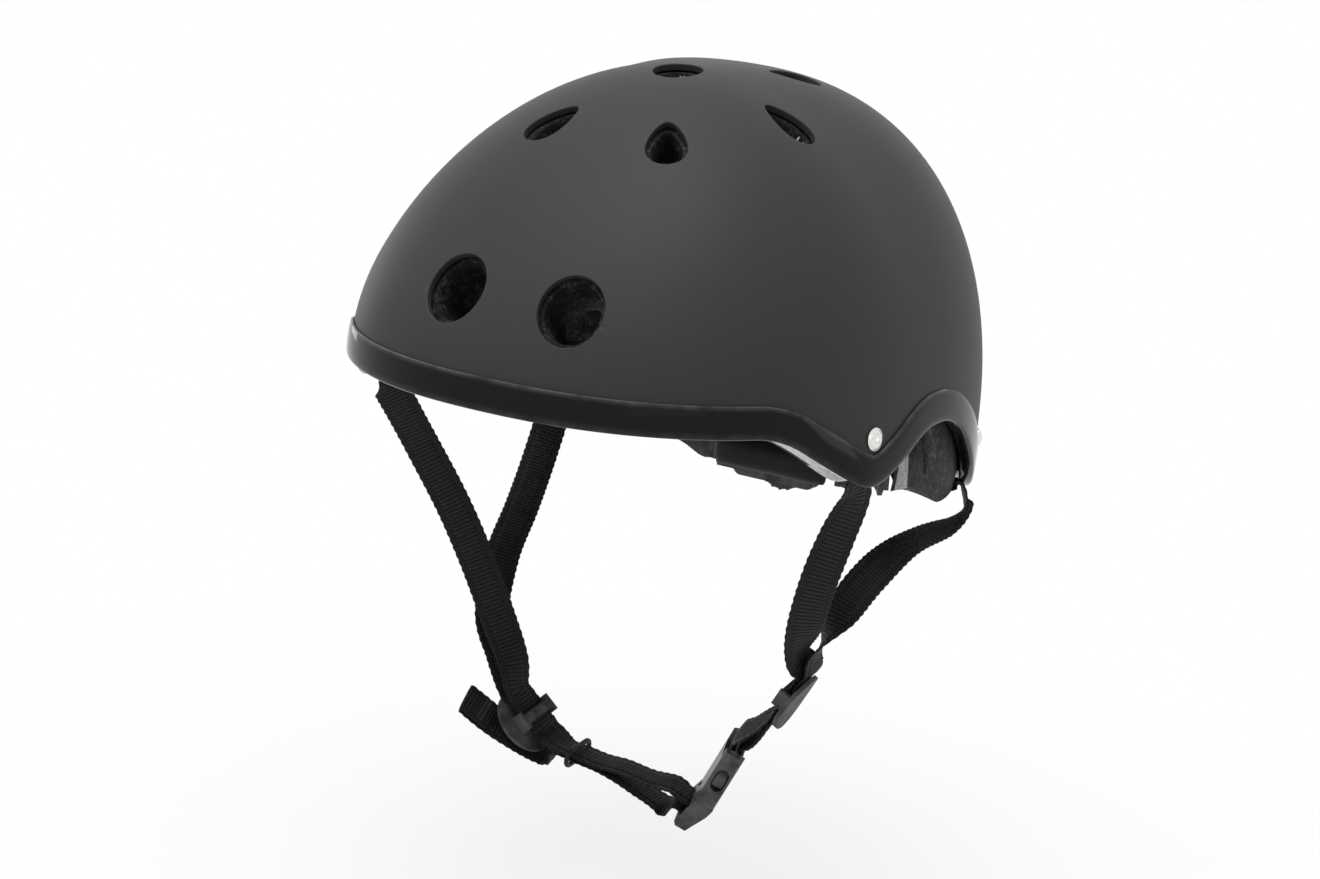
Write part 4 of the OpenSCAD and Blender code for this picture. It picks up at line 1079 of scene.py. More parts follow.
@dataclass(frozen=True)
class Vent:
    """One vent: its frame on the dome and its outline, and how deep its cutters reach."""

    axes: Axes
    outline: tuple[tuple[float, float], ...]
    shell_deep: float = 12.0
    foam_deep: float = 60.0
    lip_steps: int = 6

    def ring(self, offset: float, depth: float, on_skin: bool = True) -> Ring:
        """The outline set off sideways and put at a depth under the skin.

        Args:
            offset: Set off outwards of the outline, in millimetres.
            depth: Depth under the outer skin, negative above it.
            on_skin: False to measure depth from the vent's own plane.

        Returns:
            The ring's points.
        """
        points, n = [], len(self.outline)
        for i, (x, y) in enumerate(self.outline):
            (x0, y0), (x1, y1) = self.outline[i - 1], self.outline[(i + 1) % n]
            size = math.hypot(x1 - x0, y1 - y0)
            flat = self.axes.at(x + (y1 - y0) / size * offset, y - (x1 - x0) / size * offset, 0)
            base = DOME.settle(flat, self.axes.z) if on_skin else flat
            points.append(base - self.axes.z * depth)
        return points

    def shell_cutter(self, number: int, round_r: float) -> Piece:
        """Cutter with a rounded lip of radius round_r."""
        # It starts wide above the skin, follows the lip's quarter round, and then goes through the wall
        rings = [self.ring(round_r + 2.4, -7), self.ring(round_r + 0.5, -0.5)]
        for step in range(self.lip_steps + 1):
            t = math.radians(6 + 84 * step / self.lip_steps)
            rings.append(self.ring(round_r * (1 - math.sin(t)), round_r * (1 - math.cos(t))))
        rings.append(self.ring(-0.15, self.shell_deep))
        return loft(f"cutter_{number}", rings, Cap.FLAT)

    def foam_cutter(self, number: int, ledge: float) -> Piece:
        """Cutter for the channel through the foam, which leaves a ledge inside the shell's vent."""
        rings = [self.ring(-ledge + 0.9, -6), self.ring(-ledge + 0.9, 3.0), self.ring(-ledge, 4.6)]
        rings.append(self.ring(-ledge, self.foam_deep, on_skin=False))
        return loft(f"channel_{number}", rings, Cap.FLAT)


@dataclass
class Vents:
    """The eleven vents: front pair, rear pair, crown, and a ring of six drops."""

    round_r: float = 14.0
    front_az: float = 12.0
    front_h: float = 38.4
    rear_az: float = 13.0
    rear_h: float = 44.0
    crown_r: float = 10.5
    ring_w: float = 51.0
    ring_l: float = 56.0
    forward: float = 11.0
    drop_l: float = 24.0
    drop_w: float = 15.0
    drawn_in: float = 0.91
    drop_taper: float = 0.34
    all: list[Vent] = field(default_factory=list)

    def __post_init__(self) -> None:
        """Places the vents on the dome."""
        up = Vector((0, 0, 1))
        for side in (-1, 1):
            for az, h in ((side * self.front_az, self.front_h), (180 + side * self.rear_az, self.rear_h)):
                axes = Axes.standing(DOME.at(az, h, 0), DOME.normal(az, h, 0), up)
                self.all.append(Vent(axes, self.oval(self.round_r)))
        self.all.append(Vent(self.on_crown(0, -self.forward, Vector((0, 1, 0))), self.oval(self.crown_r)))
        for k in range(6):
            x, y = self.ring_w * sin_d(30 + 60 * k), -self.forward - self.ring_l * cos_d(30 + 60 * k)
            self.all.append(Vent(self.on_crown(x, y, Vector((-x, -self.forward - y, 0))), self.drop()))

    @staticmethod
    def on_crown(x: float, y: float, towards: Vector) -> Axes:
        """Frame of a vent over a point of the plan."""
        return Axes.standing(DOME.over(x, y, 0), DOME.crown_normal(x, y, 0), towards)

    def oval(self, r: float) -> tuple[tuple[float, float], ...]:
        """Outline of a round vent, drawn in a little sideways by the moulding."""
        return tuple((r * cos_d(5 * i), r * self.drawn_in * sin_d(5 * i)) for i in range(72))

    def drop(self) -> tuple[tuple[float, float], ...]:
        """Outline of a drop-shaped vent, its narrow end towards the crown."""
        long, wide, taper = self.drop_l / 2, self.drop_w / 2, self.drop_taper
        angles = [5 * i for i in range(72)]
        return tuple((long * cos_d(a), wide * sin_d(a) * (1 - taper * cos_d(a))) for a in angles)


@dataclass
class Shell:
    """The moulded outer shell."""

    fine: int = 4
    rows: int = 52
    lip_r: float = 0.6
    on_skin_mm: float = 0.05
    skin_turn: float = 0.94
    lip_turn: float = 0.2

    def build(self, vents: Vents) -> Piece:
        """Builds the shell and cuts its vents.

        Args:
            vents: Where the vents are.

        Returns:
            The shell.
        """
        columns = DOME.columns(self.fine)
        outer, inner = self.rings(columns, 0.0), self.rings(columns, DOME.wall)
        tips = [Vector((0, 0, DOME.crown - DOME.wall)), Vector((0, 0, DOME.crown))]
        shell = make_dome("moulded_shell", inner[::-1] + outer, tips)
        carve(shell, [v.shell_cutter(i, self.lip_r) for i, v in enumerate(vents.all)])
        self.smooth(shell)
        Finish.SHELL.dress(shell)
        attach(shell, "helmet")
        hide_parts("outer_shell")
        return shell

    def rings(self, columns: list[float], d: float) -> list[Ring]:
        """Rings of the skin from the rim to just under the crown."""
        low = [DOME.slope_at(a, DOME.rim_z(a), d) for a in columns]
        rows = [(j / self.rows) ** 1.1 for j in range(self.rows)]
        return [[DOME.skin(a, w + (90 - w) * k, d) for a, w in zip(columns, low)] for k in rows]

    def smooth(self, shell: Piece) -> None:
        """Gives the outer skin its true normals and marks the lips, which the material paints lighter as a
        highlight with wear.

        Args:
            shell: The shell after its vents are cut.
        """
        mesh = shell.data
        on_skin, normals = [], []
        for vertex in mesh.vertices:
            p = vertex.co / MM
            near = abs(DOME.outside(p)) < self.on_skin_mm
            on_skin.append(near)
            normals.append(DOME.true_normal(p) if near else Vector((0, 0, 0)))
        custom = [Vector((0, 0, 0))] * len(mesh.loops)
        lip = [0.0] * len(mesh.vertices)
        for polygon in mesh.polygons:
            flat = all(on_skin[v] for v in polygon.vertices)
            for index in polygon.loop_indices:
                v = mesh.loops[index].vertex_index
                if flat and normals[v].dot(polygon.normal) > self.skin_turn:
                    custom[index] = normals[v]
                elif on_skin[v] and polygon.normal.dot(normals[v]) > self.lip_turn:
                    # Vent lips are marked for the painted highlight and wear
                    lip[v] = 1.0
        mesh.normals_split_custom_set(custom)
        set_float(shell, "lip", lip)


@dataclass
class EdgeTrim:
    """The gloss trim that is pushed over the shell's edge."""

    outer_h: float = 10.8
    inner_h: float = 5.0
    outer_t: float = 1.3
    inner_t: float = 1.2
    snug: float = 0.2
    leg_seat: float = 0.4
    columns: int = 480

    def section(self) -> list[tuple[float, float, float]]:
        """The section's points as (outwards, up, lip mark), rounded at its corners. The lip mark says where
        the trim is painted lighter, most on the bead: a painted highlight line, with wear.
        """
        s, t, h = self.snug, self.outer_t, self.outer_h
        thin, short = self.inner_t, self.inner_h
        back = -DOME.wall - self.leg_seat
        low = -s - t
        # The bead's mark of 1 paints a highlight line along the trim's top edge
        bead = [(s, h - 0.25, 1.0), (s + 0.12, h + 0.02, 1.0), (s + 0.4, h + 0.12, 1.0)]
        bead += [
            (s + t * (0.62 + 0.2 * math.sin(i * 0.52)), h - 0.02 - 0.16 * i * i, 1.0 - 0.3 * i)
            for i in (1, 2, 3)
        ]
        face = [
            (s + t * (0.86 + 0.14 * math.sin(math.pi / 2 * k)), h - 1.7 - (h - 3.2) * k, 0.0)
            for k in QUARTERS
        ]
        sole = [(s + t * cos_d(a), -0.2 + low * sin_d(a) * 0.93, 0.3) for a in (12, 30, 50, 70)]
        sole += [(-0.4, low, 0.2), (back * 0.5, low + 0.02, 0.0), (back, low, 0.0)]
        heel = [(back - thin * sin_d(a) * 0.96, low + 0.9 * (1 - cos_d(a)), 0.0) for a in (30, 60, 88)]
        leg = [(back - thin, 0.4, 0.0), (back - thin, short - 0.5, 0.0)]
        leg += [(back - thin * 0.7, short - 0.05, 0.0), (back - thin * 0.25, short - 0.05, 0.0)]
        inside = [(back, short - 0.4, 0.0), (back, -s, 0.0), (s, -s, 0.0), (s, h * 0.3, 0.0)]
        inside.append((s, h * 0.65, 0.0))
        return bead + face + sole + heel + leg + inside

    def build(self) -> Piece:
        """Builds the trim round the whole rim."""
        section = self.section()
        rings = []
        for i in range(self.columns):
            a = 360 / self.columns * i
            along, rise = DOME.rim_run(a)
            per_degree = DOME.plan_r(a, 0) * math.pi / 180
            ring = []
            for out, up, _ in section:
                ring.append(DOME.at(a - rise * up / per_degree, DOME.rim_z(a) + along * up, -out))
            rings.append(ring)
        trim = loft("rim_trim", rings, Cap.LOOP, 40)
        set_float(trim, "lip", [mark for _ in rings for _, _, mark in section])
        Finish.TRIM.dress(trim)
        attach(trim, "helmet")
        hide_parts("edge_trim")
        return trim


@dataclass
class Liner:
    """The foam liner with its channels and strap pockets."""

    gap: float = 0.8
    thickness: float = 25.0
    rebate: float = 1.9
    trim_inner_h: float = 5.0
    ledge: float = 2.5
    pocket_w: float = 23.0
    pocket_t: float = 7.0
    trim_gap: float = 2.5
    ramp: float = 2.0
    sole_rows: int = 8
    # Where the liner is painted pale, partly as painted light from below: height, strip depth, edge margins,
    # azimuths of the ear blocks' faces
    pale_h: float = 12.0
    pale_strip: float = 18.0
    pale_edge: tuple[float, float] = (2.4, 0.6)
    face_az: tuple[float, float] = (80.0, 127.0)
    fine: int = 3
    rows: int = 30

    def build(self, vents: Vents) -> Piece:
        """Builds the liner and cuts it.

        Args:
            vents: Where the vents are.

        Returns:
            The liner.
        """
        columns = DOME.columns(self.fine)
        d0, d1 = DOME.wall + self.gap, DOME.wall + self.gap + self.thickness
        top = self.trim_inner_h + self.trim_gap
        outer: list[Ring] = []
        for k in QUARTERS:
            ring = []
            for a in columns:
                z = DOME.outer_edge(a) * (1 - k) + (DOME.rim_z(a) + top) * k
                ring.append(DOME.at(a + DOME.lean(a, z), z, d0 + self.rebate))
            outer.append(ring)
        starts = [DOME.slope_at(a, DOME.rim_z(a) + top + self.ramp, d0) for a in columns]
        for j in range(self.rows):
            outer.append([DOME.skin(a, w + (90 - w) * j / self.rows, d0) for a, w in zip(columns, starts)])
        inner: list[Ring] = []
        for j in range(self.rows + 1, -1, -1):
            ring = []
            for c in columns:
                a = DOME.lagged(c)
                w = DOME.slope_at(a, DOME.inner_edge(c, a), d1)
                ring.append(DOME.skin(a, w + (90 - w) * (j / (self.rows + 2)) ** 1.15, d1))
            inner.append(ring)
        parts = [k / self.sole_rows for k in range(1, self.sole_rows)]
        sole = [[p.lerp(q, part) for p, q in zip(inner[-1], outer[0])] for part in parts]
        tips = [Vector((0, 0, DOME.crown - d1)), Vector((0, 0, DOME.crown - d0))]
        liner = make_dome("bead_liner", inner + sole + outer, tips, 30)
        carve(liner, [v.foam_cutter(i, self.ledge) for i, v in enumerate(vents.all)] + self.pockets(d0))
        self.mark_pale_lit(liner, d0, d1)
        Finish.FOAM.dress(liner)
        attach(liner, "helmet")
        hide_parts("foam_liner")
        return liner

    def pockets(self, d0: float) -> list[Piece]:
        """Cutters for the strap pockets."""
        made = []
        for i, (az, z) in enumerate(RIVETS):
            axes, w = DOME.rivet_axes(az, z), self.pocket_w / 2
            low, high = -d0 - self.pocket_t, 6 - d0
            corners = ((-w, low), (w, low), (w, high), (-w, high))
            rings = [[axes.at(x, y, h) for y, h in corners] for x in (-60, 10)]
            made.append(loft(f"pocket_{i}", rings, Cap.FLAT))
        return made

    def mark_pale_lit(self, liner: Piece, d0: float, d1: float) -> None:
        """Marks the lower face and a strip of the ear blocks' front faces, which are painted paler: paler
        foam, and painted light from below.

        Args:
            liner: The cut liner.
            d0: Depth of its outer skin.
            d1: Depth of its inner skin.
        """
        marks = []
        (near_skin, near_head), (first, last) = self.pale_edge, self.face_az
        for polygon in liner.data.polygons:
            p, n = polygon.center / MM, polygon.normal
            u = fold(math.degrees(math.atan2(p.x, -p.y)))
            depth = -DOME.outside(p)
            between = d0 + near_skin < depth < d1 - near_head
            sole = n.z < -0.2 and p.z < DOME.rim_z(u) + self.pale_h
            front = first < u < last and n.y < -0.35
            marks.append(1.0 if between and (depth > d0 + self.pale_strip if front else sole) else 0.0)
        pale_lit = liner.data.attributes.new("pale_lit", "FLOAT", "FACE")
        pale_lit.data.foreach_set("value", marks)


@dataclass
class Rivets:
    """Domed rivets and their inner washers."""

    head_r: float = 4.4
    head_h: float = 2.3
    shank_r: float = 1.8
    tail_depth: float = 6.0
    tail_t: float = 0.9
    seat: float = 0.2
    turns: int = 56

    def profile(self) -> list[tuple[float, float]]:
        """The rivet's half section as (radius, height)."""
        dome_r = (self.head_r**2 + self.head_h**2) / (2 * self.head_h)
        slopes = [
            math.degrees(math.asin(self.head_r * k / dome_r)) for k in (0.02, 0.2, 0.4, 0.6, 0.75, 0.87, 0.95)
        ]
        top = [(dome_r * sin_d(a), self.head_h - dome_r * (1 - cos_d(a))) for a in slopes]
        rim = [(self.head_r, 0.32), (self.head_r + 0.02, 0.12), (self.head_r - 0.12, 0.0)]
        r, under, foot = self.shank_r, -self.tail_depth, -self.tail_depth - self.tail_t
        tail = [(r, 0.0), (r, under), (r * 1.6, under), (r * 1.7, under - 0.2), (r * 1.7, foot + 0.25)]
        tail += [(r * 1.5, foot), (0.3, foot)]
        return [(out, up + self.seat) for out, up in top + rim] + tail

    def build(self, name: str, picks: tuple[int, int], node: str) -> Piece:
        """Builds one pair of rivets.

        Args:
            name: The piece's name.
            picks: Which two of the four rivets.
            node: The solid that it replaces.

        Returns:
            The pair as one object.
        """
        points: Ring = []
        faces: list[Face] = []
        angles = [360 * i / self.turns for i in range(self.turns)]
        for pick in picks:
            axes = DOME.rivet_axes(*RIVETS[pick])
            rings = [[axes.at(r * cos_d(a), r * sin_d(a), h) for a in angles] for r, h in self.profile()]
            add_tube(points, faces, rings)
        pair = make_object(name, points, faces, 40)
        Finish.NICKEL.dress(pair)
        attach(pair, "helmet")
        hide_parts(node)
        return pair


# Comfort pads


@dataclass
class Pad:
    """One comfort pad: a crowned cushion with a stitched channel near its edge."""

    name: str
    node: str
    spot: Callable[[float, float, float], Vector]
    cols: int = 56
    rows: int = 28
    full_t: float = 9.0
    edge_t: float = 2.4
    channel: float = 0.14
    sewn: float = 1.0
    groove_t: float = 1.1
    groove_w: float = 0.16
    seam_t: float = 0.9
    seam_w: float = 0.022
    back_t: float = 0.12
    bow_end: float = 0.045
    bow_side: float = 0.16

    def thickness(self, s: float, t: float) -> float:
        """Thickness at a point of the pad, s and t from 0 to 1."""
        crown = (1 - (2 * s - 1) ** 4) * (1 - (2 * t - 1) ** 4)
        rise = self.edge_t + (self.full_t - 0.25 - self.edge_t) * crown
        side, end = self.channel, 1.8 * self.channel
        edge = min(s / side, (1 - s) / side, t / end, (1 - t) / end)
        groove = self.groove_t * math.exp(-(((edge - 1) / self.groove_w) ** 2))
        middle = self.seam_t * math.exp(-(((t - 0.5) / self.seam_w) ** 2)) * (1 if edge > 1.2 else 0)
        roll = min(1.0, edge * 3.2)
        return max(0.5, (rise - self.sewn * (groove + middle)) * (1 - (1 - roll) ** 2) ** 0.5)

    def build(self) -> Piece:
        """Builds the pad as a closed cushion with rounded corners."""
        rings: list[Ring] = []
        for i in range(self.cols + 1):
            turn = math.cos(math.pi * i / self.cols)
            s = 0.5 - 0.5 * turn * (0.6 + 0.4 * abs(turn))
            row_f, row_b = [], []
            for j in range(self.rows + 1):
                t = 0.5 - 0.5 * math.cos(math.pi * j / self.rows)
                x = 0.5 + (s - 0.5) * (1 - self.bow_end * abs(2 * t - 1) ** 5)
                y = 0.5 + (t - 0.5) * (1 - self.bow_side * abs(2 * s - 1) ** 5)
                row_f.append(self.spot(x, y, self.thickness(s, t)))
                row_b.append(self.spot(x, y, self.back_t))
            rings.append(row_f + row_b[::-1])
        pad = loft(self.name, rings, Cap.FLAT, 60)
        Finish.PAD.dress(pad)
        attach(pad, "helmet")
        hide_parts(self.node)
        return pad


@dataclass
class Pads:
    """All comfort pads: brow, nape, ears, crown and the cradle's own pad."""

    seat: float = 30.0
    nape_y: float = 103.0
    dial_z: float = -63.0
    cradle_half: tuple[float, float] = (27.0, 7.0)
    cradle_bow: float = 260.0

    def on_skin(self, box: tuple[float, float, float, float]) -> Callable[[float, float, float], Vector]:
        """Places a pad on the liner's inner skin between two azimuths and two heights."""
        u0, u1, z0, z1 = box
        return lambda s, t, d: DOME.at(u0 + (u1 - u0) * s, z0 + (z1 - z0) * t, self.seat + d)

    def under_crown(self, box: tuple[float, float, float, float]) -> Callable[[float, float, float], Vector]:
        """Places a pad under the crown over a box of the plan."""
        x0, x1, y0, y1 = box
        return lambda s, t, d: DOME.over(x0 + (x1 - x0) * t, y0 + (y1 - y0) * s, self.seat + d)

    def on_cradle(self, s: float, t: float, d: float) -> Vector:
        """Places a point of the cradle's pad."""
        half_w, half_h = self.cradle_half
        x = half_w * (2 * s - 1)
        y = self.nape_y - 0.3 - x * x / self.cradle_bow - d * 0.75
        return Vector((x, y, self.dial_z + 3 + half_h * (2 * t - 1)))

    def build(self) -> list[Piece]:
        """Builds every pad."""
        brow, nape, ear, top = (-38, 38, -3, 22), (156, 204, -12, 20), (58, 108, 2, 34), (15, 37, -38, 16)
        right_ear, right_top = ((-box[1], -box[0], *box[2:]) for box in (ear, top))
        pads = [
            Pad("brow_cushion", "front_pad", self.on_skin(brow)),
            Pad("nape_cushion", "rear_pad", self.on_skin(nape)),
            Pad("ear_cushion_left", "side_pad_left", self.on_skin(ear)),
            Pad("ear_cushion_right", "side_pad_right", self.on_skin(right_ear)),
            Pad("crown_cushion_left", "crown_pad_left", self.under_crown(top)),
            Pad("crown_cushion_right", "crown_pad_right", self.under_crown(right_top)),
            Pad("cradle_cushion", "cradle_pad", self.on_cradle, sewn=0.0),
        ]
        return [pad.build() for pad in pads]


# Pieces that keep their solid's shape, with softened edges


@dataclass
class Moulding:
    """A moulded piece: the solid's own shape with its edges rounded."""

    name: str
    node: str
    body: str
    finish: Finish
    edge_mm: float = 0.3
    sharp: float = 32.0
    steps: int = 2
    drawn: tuple[str, Vector, Vector] | None = None
    merge_mm: float = 0.004
    flat_turn: float = 0.5
    edge_turn: float = 28.0
    edge_profile: float = 0.6

    def build(self, frame: dict) -> Piece:
        """Copies the solid's mesh, rounds its edges and dresses it.


        Returns:
            The piece.
        """
        bm = bmesh.new()
        bm.from_mesh(frame["nodes"][self.node].data)
        bmesh.ops.remove_doubles(bm, verts=bm.verts, dist=self.merge_mm * MM)
        bmesh.ops.dissolve_limit(bm, angle_limit=math.radians(self.flat_turn), verts=bm.verts, edges=bm.edges)
        turn = math.radians(self.edge_turn)
        edges = [e for e in bm.edges if len(e.link_faces) == 2 and e.calc_face_angle(0.0) > turn]
        rounded = bmesh.ops.bevel(
            bm,
            geom=edges,
            offset=self.edge_mm * MM,
            segments=self.steps,
            profile=self.edge_profile,
            affect="EDGES",
            clamp_overlap=True,
        )
        bm.verts.index_update()
        # Rounded edges are marked as lips, which the material paints lighter as a highlight with wear
        lip = {v.index for v in rounded["verts"] if v.is_valid}
        mesh = bpy.data.meshes.new(self.name)
        bm.to_mesh(mesh)
        bm.free()
        shade_by_angle(mesh, self.sharp)
        piece = add_object(self.name, mesh)
        set_float(piece, "lip", [1.0 if v.index in lip else 0.0 for v in mesh.vertices])
        self.finish.dress(piece)
        if self.drawn:
            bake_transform(piece)
        else:
            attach(piece, self.body)
        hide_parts(self.node)
        return piece


DRAWN_LEFT = ("left_rack", Vector((60, 85, -38)), Vector((26, 101, -58)))
DRAWN_RIGHT = ("right_rack", Vector((-60, 85, -38)), Vector((-26, 101, -58)))
MOULDINGS = [
    Moulding("inner_washers", "rivet_washers", "helmet", Finish.STEEL, 0.1),
    Moulding("hook_patches", "pad_patches", "helmet", Finish.HOOK, 0.12),
    Moulding("nape_casing", "cradle_casing", "helmet", Finish.PLASTIC, 0.35),
    Moulding("nape_cover", "cradle_cover", "helmet", Finish.PLASTIC, 0.45),
    Moulding("nape_hanger", "cradle_hanger", "helmet", Finish.PLASTIC, 0.35),
    Moulding("snap_studs", "cradle_studs", "helmet", Finish.PLASTIC, 0.12),
    Moulding("nape_arm_left", "cradle_arm_left", "helmet", Finish.PLASTIC, 0.35, 40, 2, DRAWN_LEFT),
    Moulding("nape_arm_right", "cradle_arm_right", "helmet", Finish.PLASTIC, 0.35, 40, 2, DRAWN_RIGHT),
    Moulding("drawn_rack_left", "rack_left", "left_rack", Finish.PLASTIC, 0.12),
    Moulding("drawn_rack_right", "rack_right", "right_rack", Finish.PLASTIC, 0.12),
    Moulding("fit_dial", "dial_knob", "dial", Finish.DIAL, 0.22),
    Moulding("fit_pinion", "dial_pinion", "dial", Finish.DIAL, 0.06),
    Moulding("dial_screw", "dial_axle", "helmet", Finish.STEEL, 0.12),
    Moulding("slide_divider_left", "divider_left", "left_divider", Finish.MATT, 0.5, 40, 3),
    Moulding("slide_divider_right", "divider_right", "right_divider", Finish.MATT, 0.5, 40, 3),
    Moulding("clip_socket", "buckle_socket", "helmet", Finish.PLASTIC, 0.5, 35, 3),
    Moulding("clip_plug", "buckle_plug", "plug", Finish.PLASTIC, 0.6, 35, 3),
    Moulding("clip_prong_front", "prong_front", "front_prong", Finish.PLASTIC, 0.3),
    Moulding("clip_prong_rear", "prong_rear", "rear_prong", Finish.PLASTIC, 0.3),
]


# Webbing


def unit(x: float, y: float, z: float) -> Vector:
    """Unit vector."""
    return Vector((x, y, z)).normalized()


def station(x: float, y: float, z: float, width: Vector | tuple[float, float, float]) -> Station:
    """A route point with the direction of the webbing's width."""
    return Vector((x, y, z)), Vector(width)


@dataclass(frozen=True)
class Divider:
    """Where a strap divider sits, how its straps run, and which way its wing is shifted."""

    at: Vector
    run: Vector
    width: Vector
    shift: float

    def point(self, along: float, out: float) -> Vector:
        """Point along the straps and outwards from the head."""
        return self.at + self.run * along + self.run.cross(square_to(self.width, self.run)) * out


@dataclass
class Harness:
    """The six straps: front and rear on each side, and a doubled chin strap on each side."""

    width: float = 15.0
    thick: float = 1.3
    layer: float = 0.8
    rib: float = 1.65
    rivet_depth: float = 4.45
    trim_depth: float = 6.45
    bar_r: float = 2.25
    fold_out: float = 1.8
    stitches: int = 22
    sewn_half: float = 5.6
    left: Divider = Divider(
        Vector((79.7, -15.6, -117.8)), unit(-0.507, 0.169, -0.845), Vector((0, 0.98, 0.2)), -4
    )
    right: Divider = Divider(
        Vector((-45.3, -3.3, -160.9)), unit(0.7, 0.14, -0.7), Vector((-0.064, -0.964, -0.256)), 4
    )
    buckle: Axes = field(init=False)
    ring: Axes = field(init=False)
    tail: Axes = field(init=False)

    def __post_init__(self) -> None:
        """Sets the frames of the buckle, the keeper ring and the tail's end."""
        x = unit(-0.43, -0.03, -0.9)
        y = square_to(Vector((0.355, -0.926, -0.129)), x)
        self.buckle = Axes(Vector((51.9, -3.9, -149.3)), x, y, x.cross(y))
        run, w = unit(1, 0.06, -0.14), Vector((-0.2, 0.97, 0.1))
        self.ring = Axes(Vector((-21.4, -5.6, -171.2)), run, run.cross(w).normalized(), w)
        run, w = unit(-0.62, -0.34, 0.5), Vector((-0.2, 0.86, 0.47))
        self.tail = Axes(Vector((-66.5, -22.1, -156)), run, w, w.cross(run).normalized())

    def top(self, az: float, z: float) -> list[Station]:
        """Start of a strap behind its rivet, and its run past the trim."""
        axes = DOME.rivet_axes(az, z)
        w = Vector((0, 0, 1)).cross(axes.z) * sign_of(sin_d(az))
        made = [(axes.at(k, 0, -self.rivet_depth), w) for k in (8.0, 0.0, -5.5)]
        made.append((DOME.at(az, DOME.rim_z(az) + 5.6, self.trim_depth), w))
        made.append((DOME.at(az, DOME.rim_z(az) - 2.2, self.trim_depth + 0.1), w))
        return made

    def into(self, divider: Divider, side: int) -> list[Station]:
        """Last stretch of a strap, under its divider."""
        w = divider.width * (-1 if divider.shift > 0 else 1)
        steps = ((-13.5, 0.8), (-9.5, 0.15), (-5.0, 0.0), (-0.1, 0.0))
        return [(divider.point(a, side * (self.layer + b)), w) for a, b in steps]

    def front_left(self) -> list[Station]:
        """Route from the left temple rivet to the left divider."""
        return [
            *self.top(71, -4.8),
            station(105.8, -34.7, -32, (0.5, 0.86, 0)),
            station(101.2, -36, -46, (0.75, 0.65, 0.1)),
            station(96.1, -37.1, -64.3, (0.84, 0.53, 0.1)),
            station(90.4, -33.5, -84.3, (0.75, 0.66, 0.1)),
            station(85.1, -25.3, -99.4, (0.15, 0.95, 0.2)),
            *self.into(self.left, -1),
        ]

    def rear_left(self) -> list[Station]:
        """Route from the left rear rivet to the left divider."""
        return [
            *self.top(129, -27),
            station(98.4, 78.4, -46.2, (-0.6, 0.8, 0)),
            station(102.4, 76.4, -51.4, (-0.5, 0.85, -0.15)),
            station(103.6, 72.6, -55.8, (-0.5, 0.85, -0.15)),
            station(101.4, 57.5, -60.4, (-0.68, 0.62, 0.1)),
            station(97.9, 29.3, -63.9, (-0.95, 0.1, 0.2)),
            station(95.7, 4.2, -73.3, (-0.7, 0.2, 0.68)),
            station(93, -12, -86.4, (-0.5, 0.6, 0.6)),
            station(89.1, -18.1, -99.6, (-0.05, 0.95, 0.3)),
            *self.into(self.left, 1),
        ]

    def front_right(self) -> list[Station]:
        """Route from the right temple rivet to the right divider."""
        return [
            *self.top(-71, -4.8),
            station(-107, -32.4, -31, (0.7, 0.7, 0.1)),
            station(-101, -19, -53, (0.84, 0.52, 0.1)),
            station(-88.2, -11.1, -77.9, (0.84, 0.52, 0.1)),
            station(-76.3, -7.2, -101, (0.82, 0.55, 0.1)),
            station(-65.8, -4, -124.1, (0.7, 0.7, 0.1)),
            station(-57.6, -3.7, -139.7, (0.4, 0.9, 0.2)),
            *self.into(self.right, -1),
        ]

    def rear_right(self) -> list[Station]:
        """Route from the right rear rivet to the right divider."""
        return [
            *self.top(-129, -27),
            station(-101.6, 82.5, -61.8, (0.8, 0.6, -0.1)),
            station(-97.5, 66.6, -78.7, (0.86, 0.48, -0.15)),
            station(-90.6, 46.4, -91.1, (0.87, 0.44, -0.2)),
            station(-84, 23.8, -106.2, (0.8, 0.55, -0.1)),
            station(-76.4, 7, -127, (0.55, 0.8, 0.1)),
            station(-65.8, 0.8, -141.6, (0.3, 0.93, 0.2)),
            *self.into(self.right, 1),
        ]

    def chin_left(self) -> list[Station]:
        """Route from the left divider round the socket's bar and back."""
        w = (-0.3, 0.93, 0.2)

        def one_layer(side: int) -> list[Station]:
            """One layer of the doubled strap."""
            made = [(self.left.point(x, side * self.layer), self.left.width) for x in (0.1, 5.0, 9.5)]
            for spot, gap in (
                (Vector((68.6, -13.4, -132.6)), 1.2),
                (Vector((59.6, -8.5, -141.5)), 2.4),
                (self.buckle.at(-4, 0, 0), 2.2),
            ):
                made.append((spot - self.buckle.z * side * gap, Vector(w)))
            return made

        b, r = self.buckle, self.bar_r
        turn = [(b.at(1.3 + r * cos_d(a), 0, r * sin_d(a)), -b.y) for a in (-80, -40, 0, 40, 80)]
        return one_layer(1) + turn + one_layer(-1)[::-1]

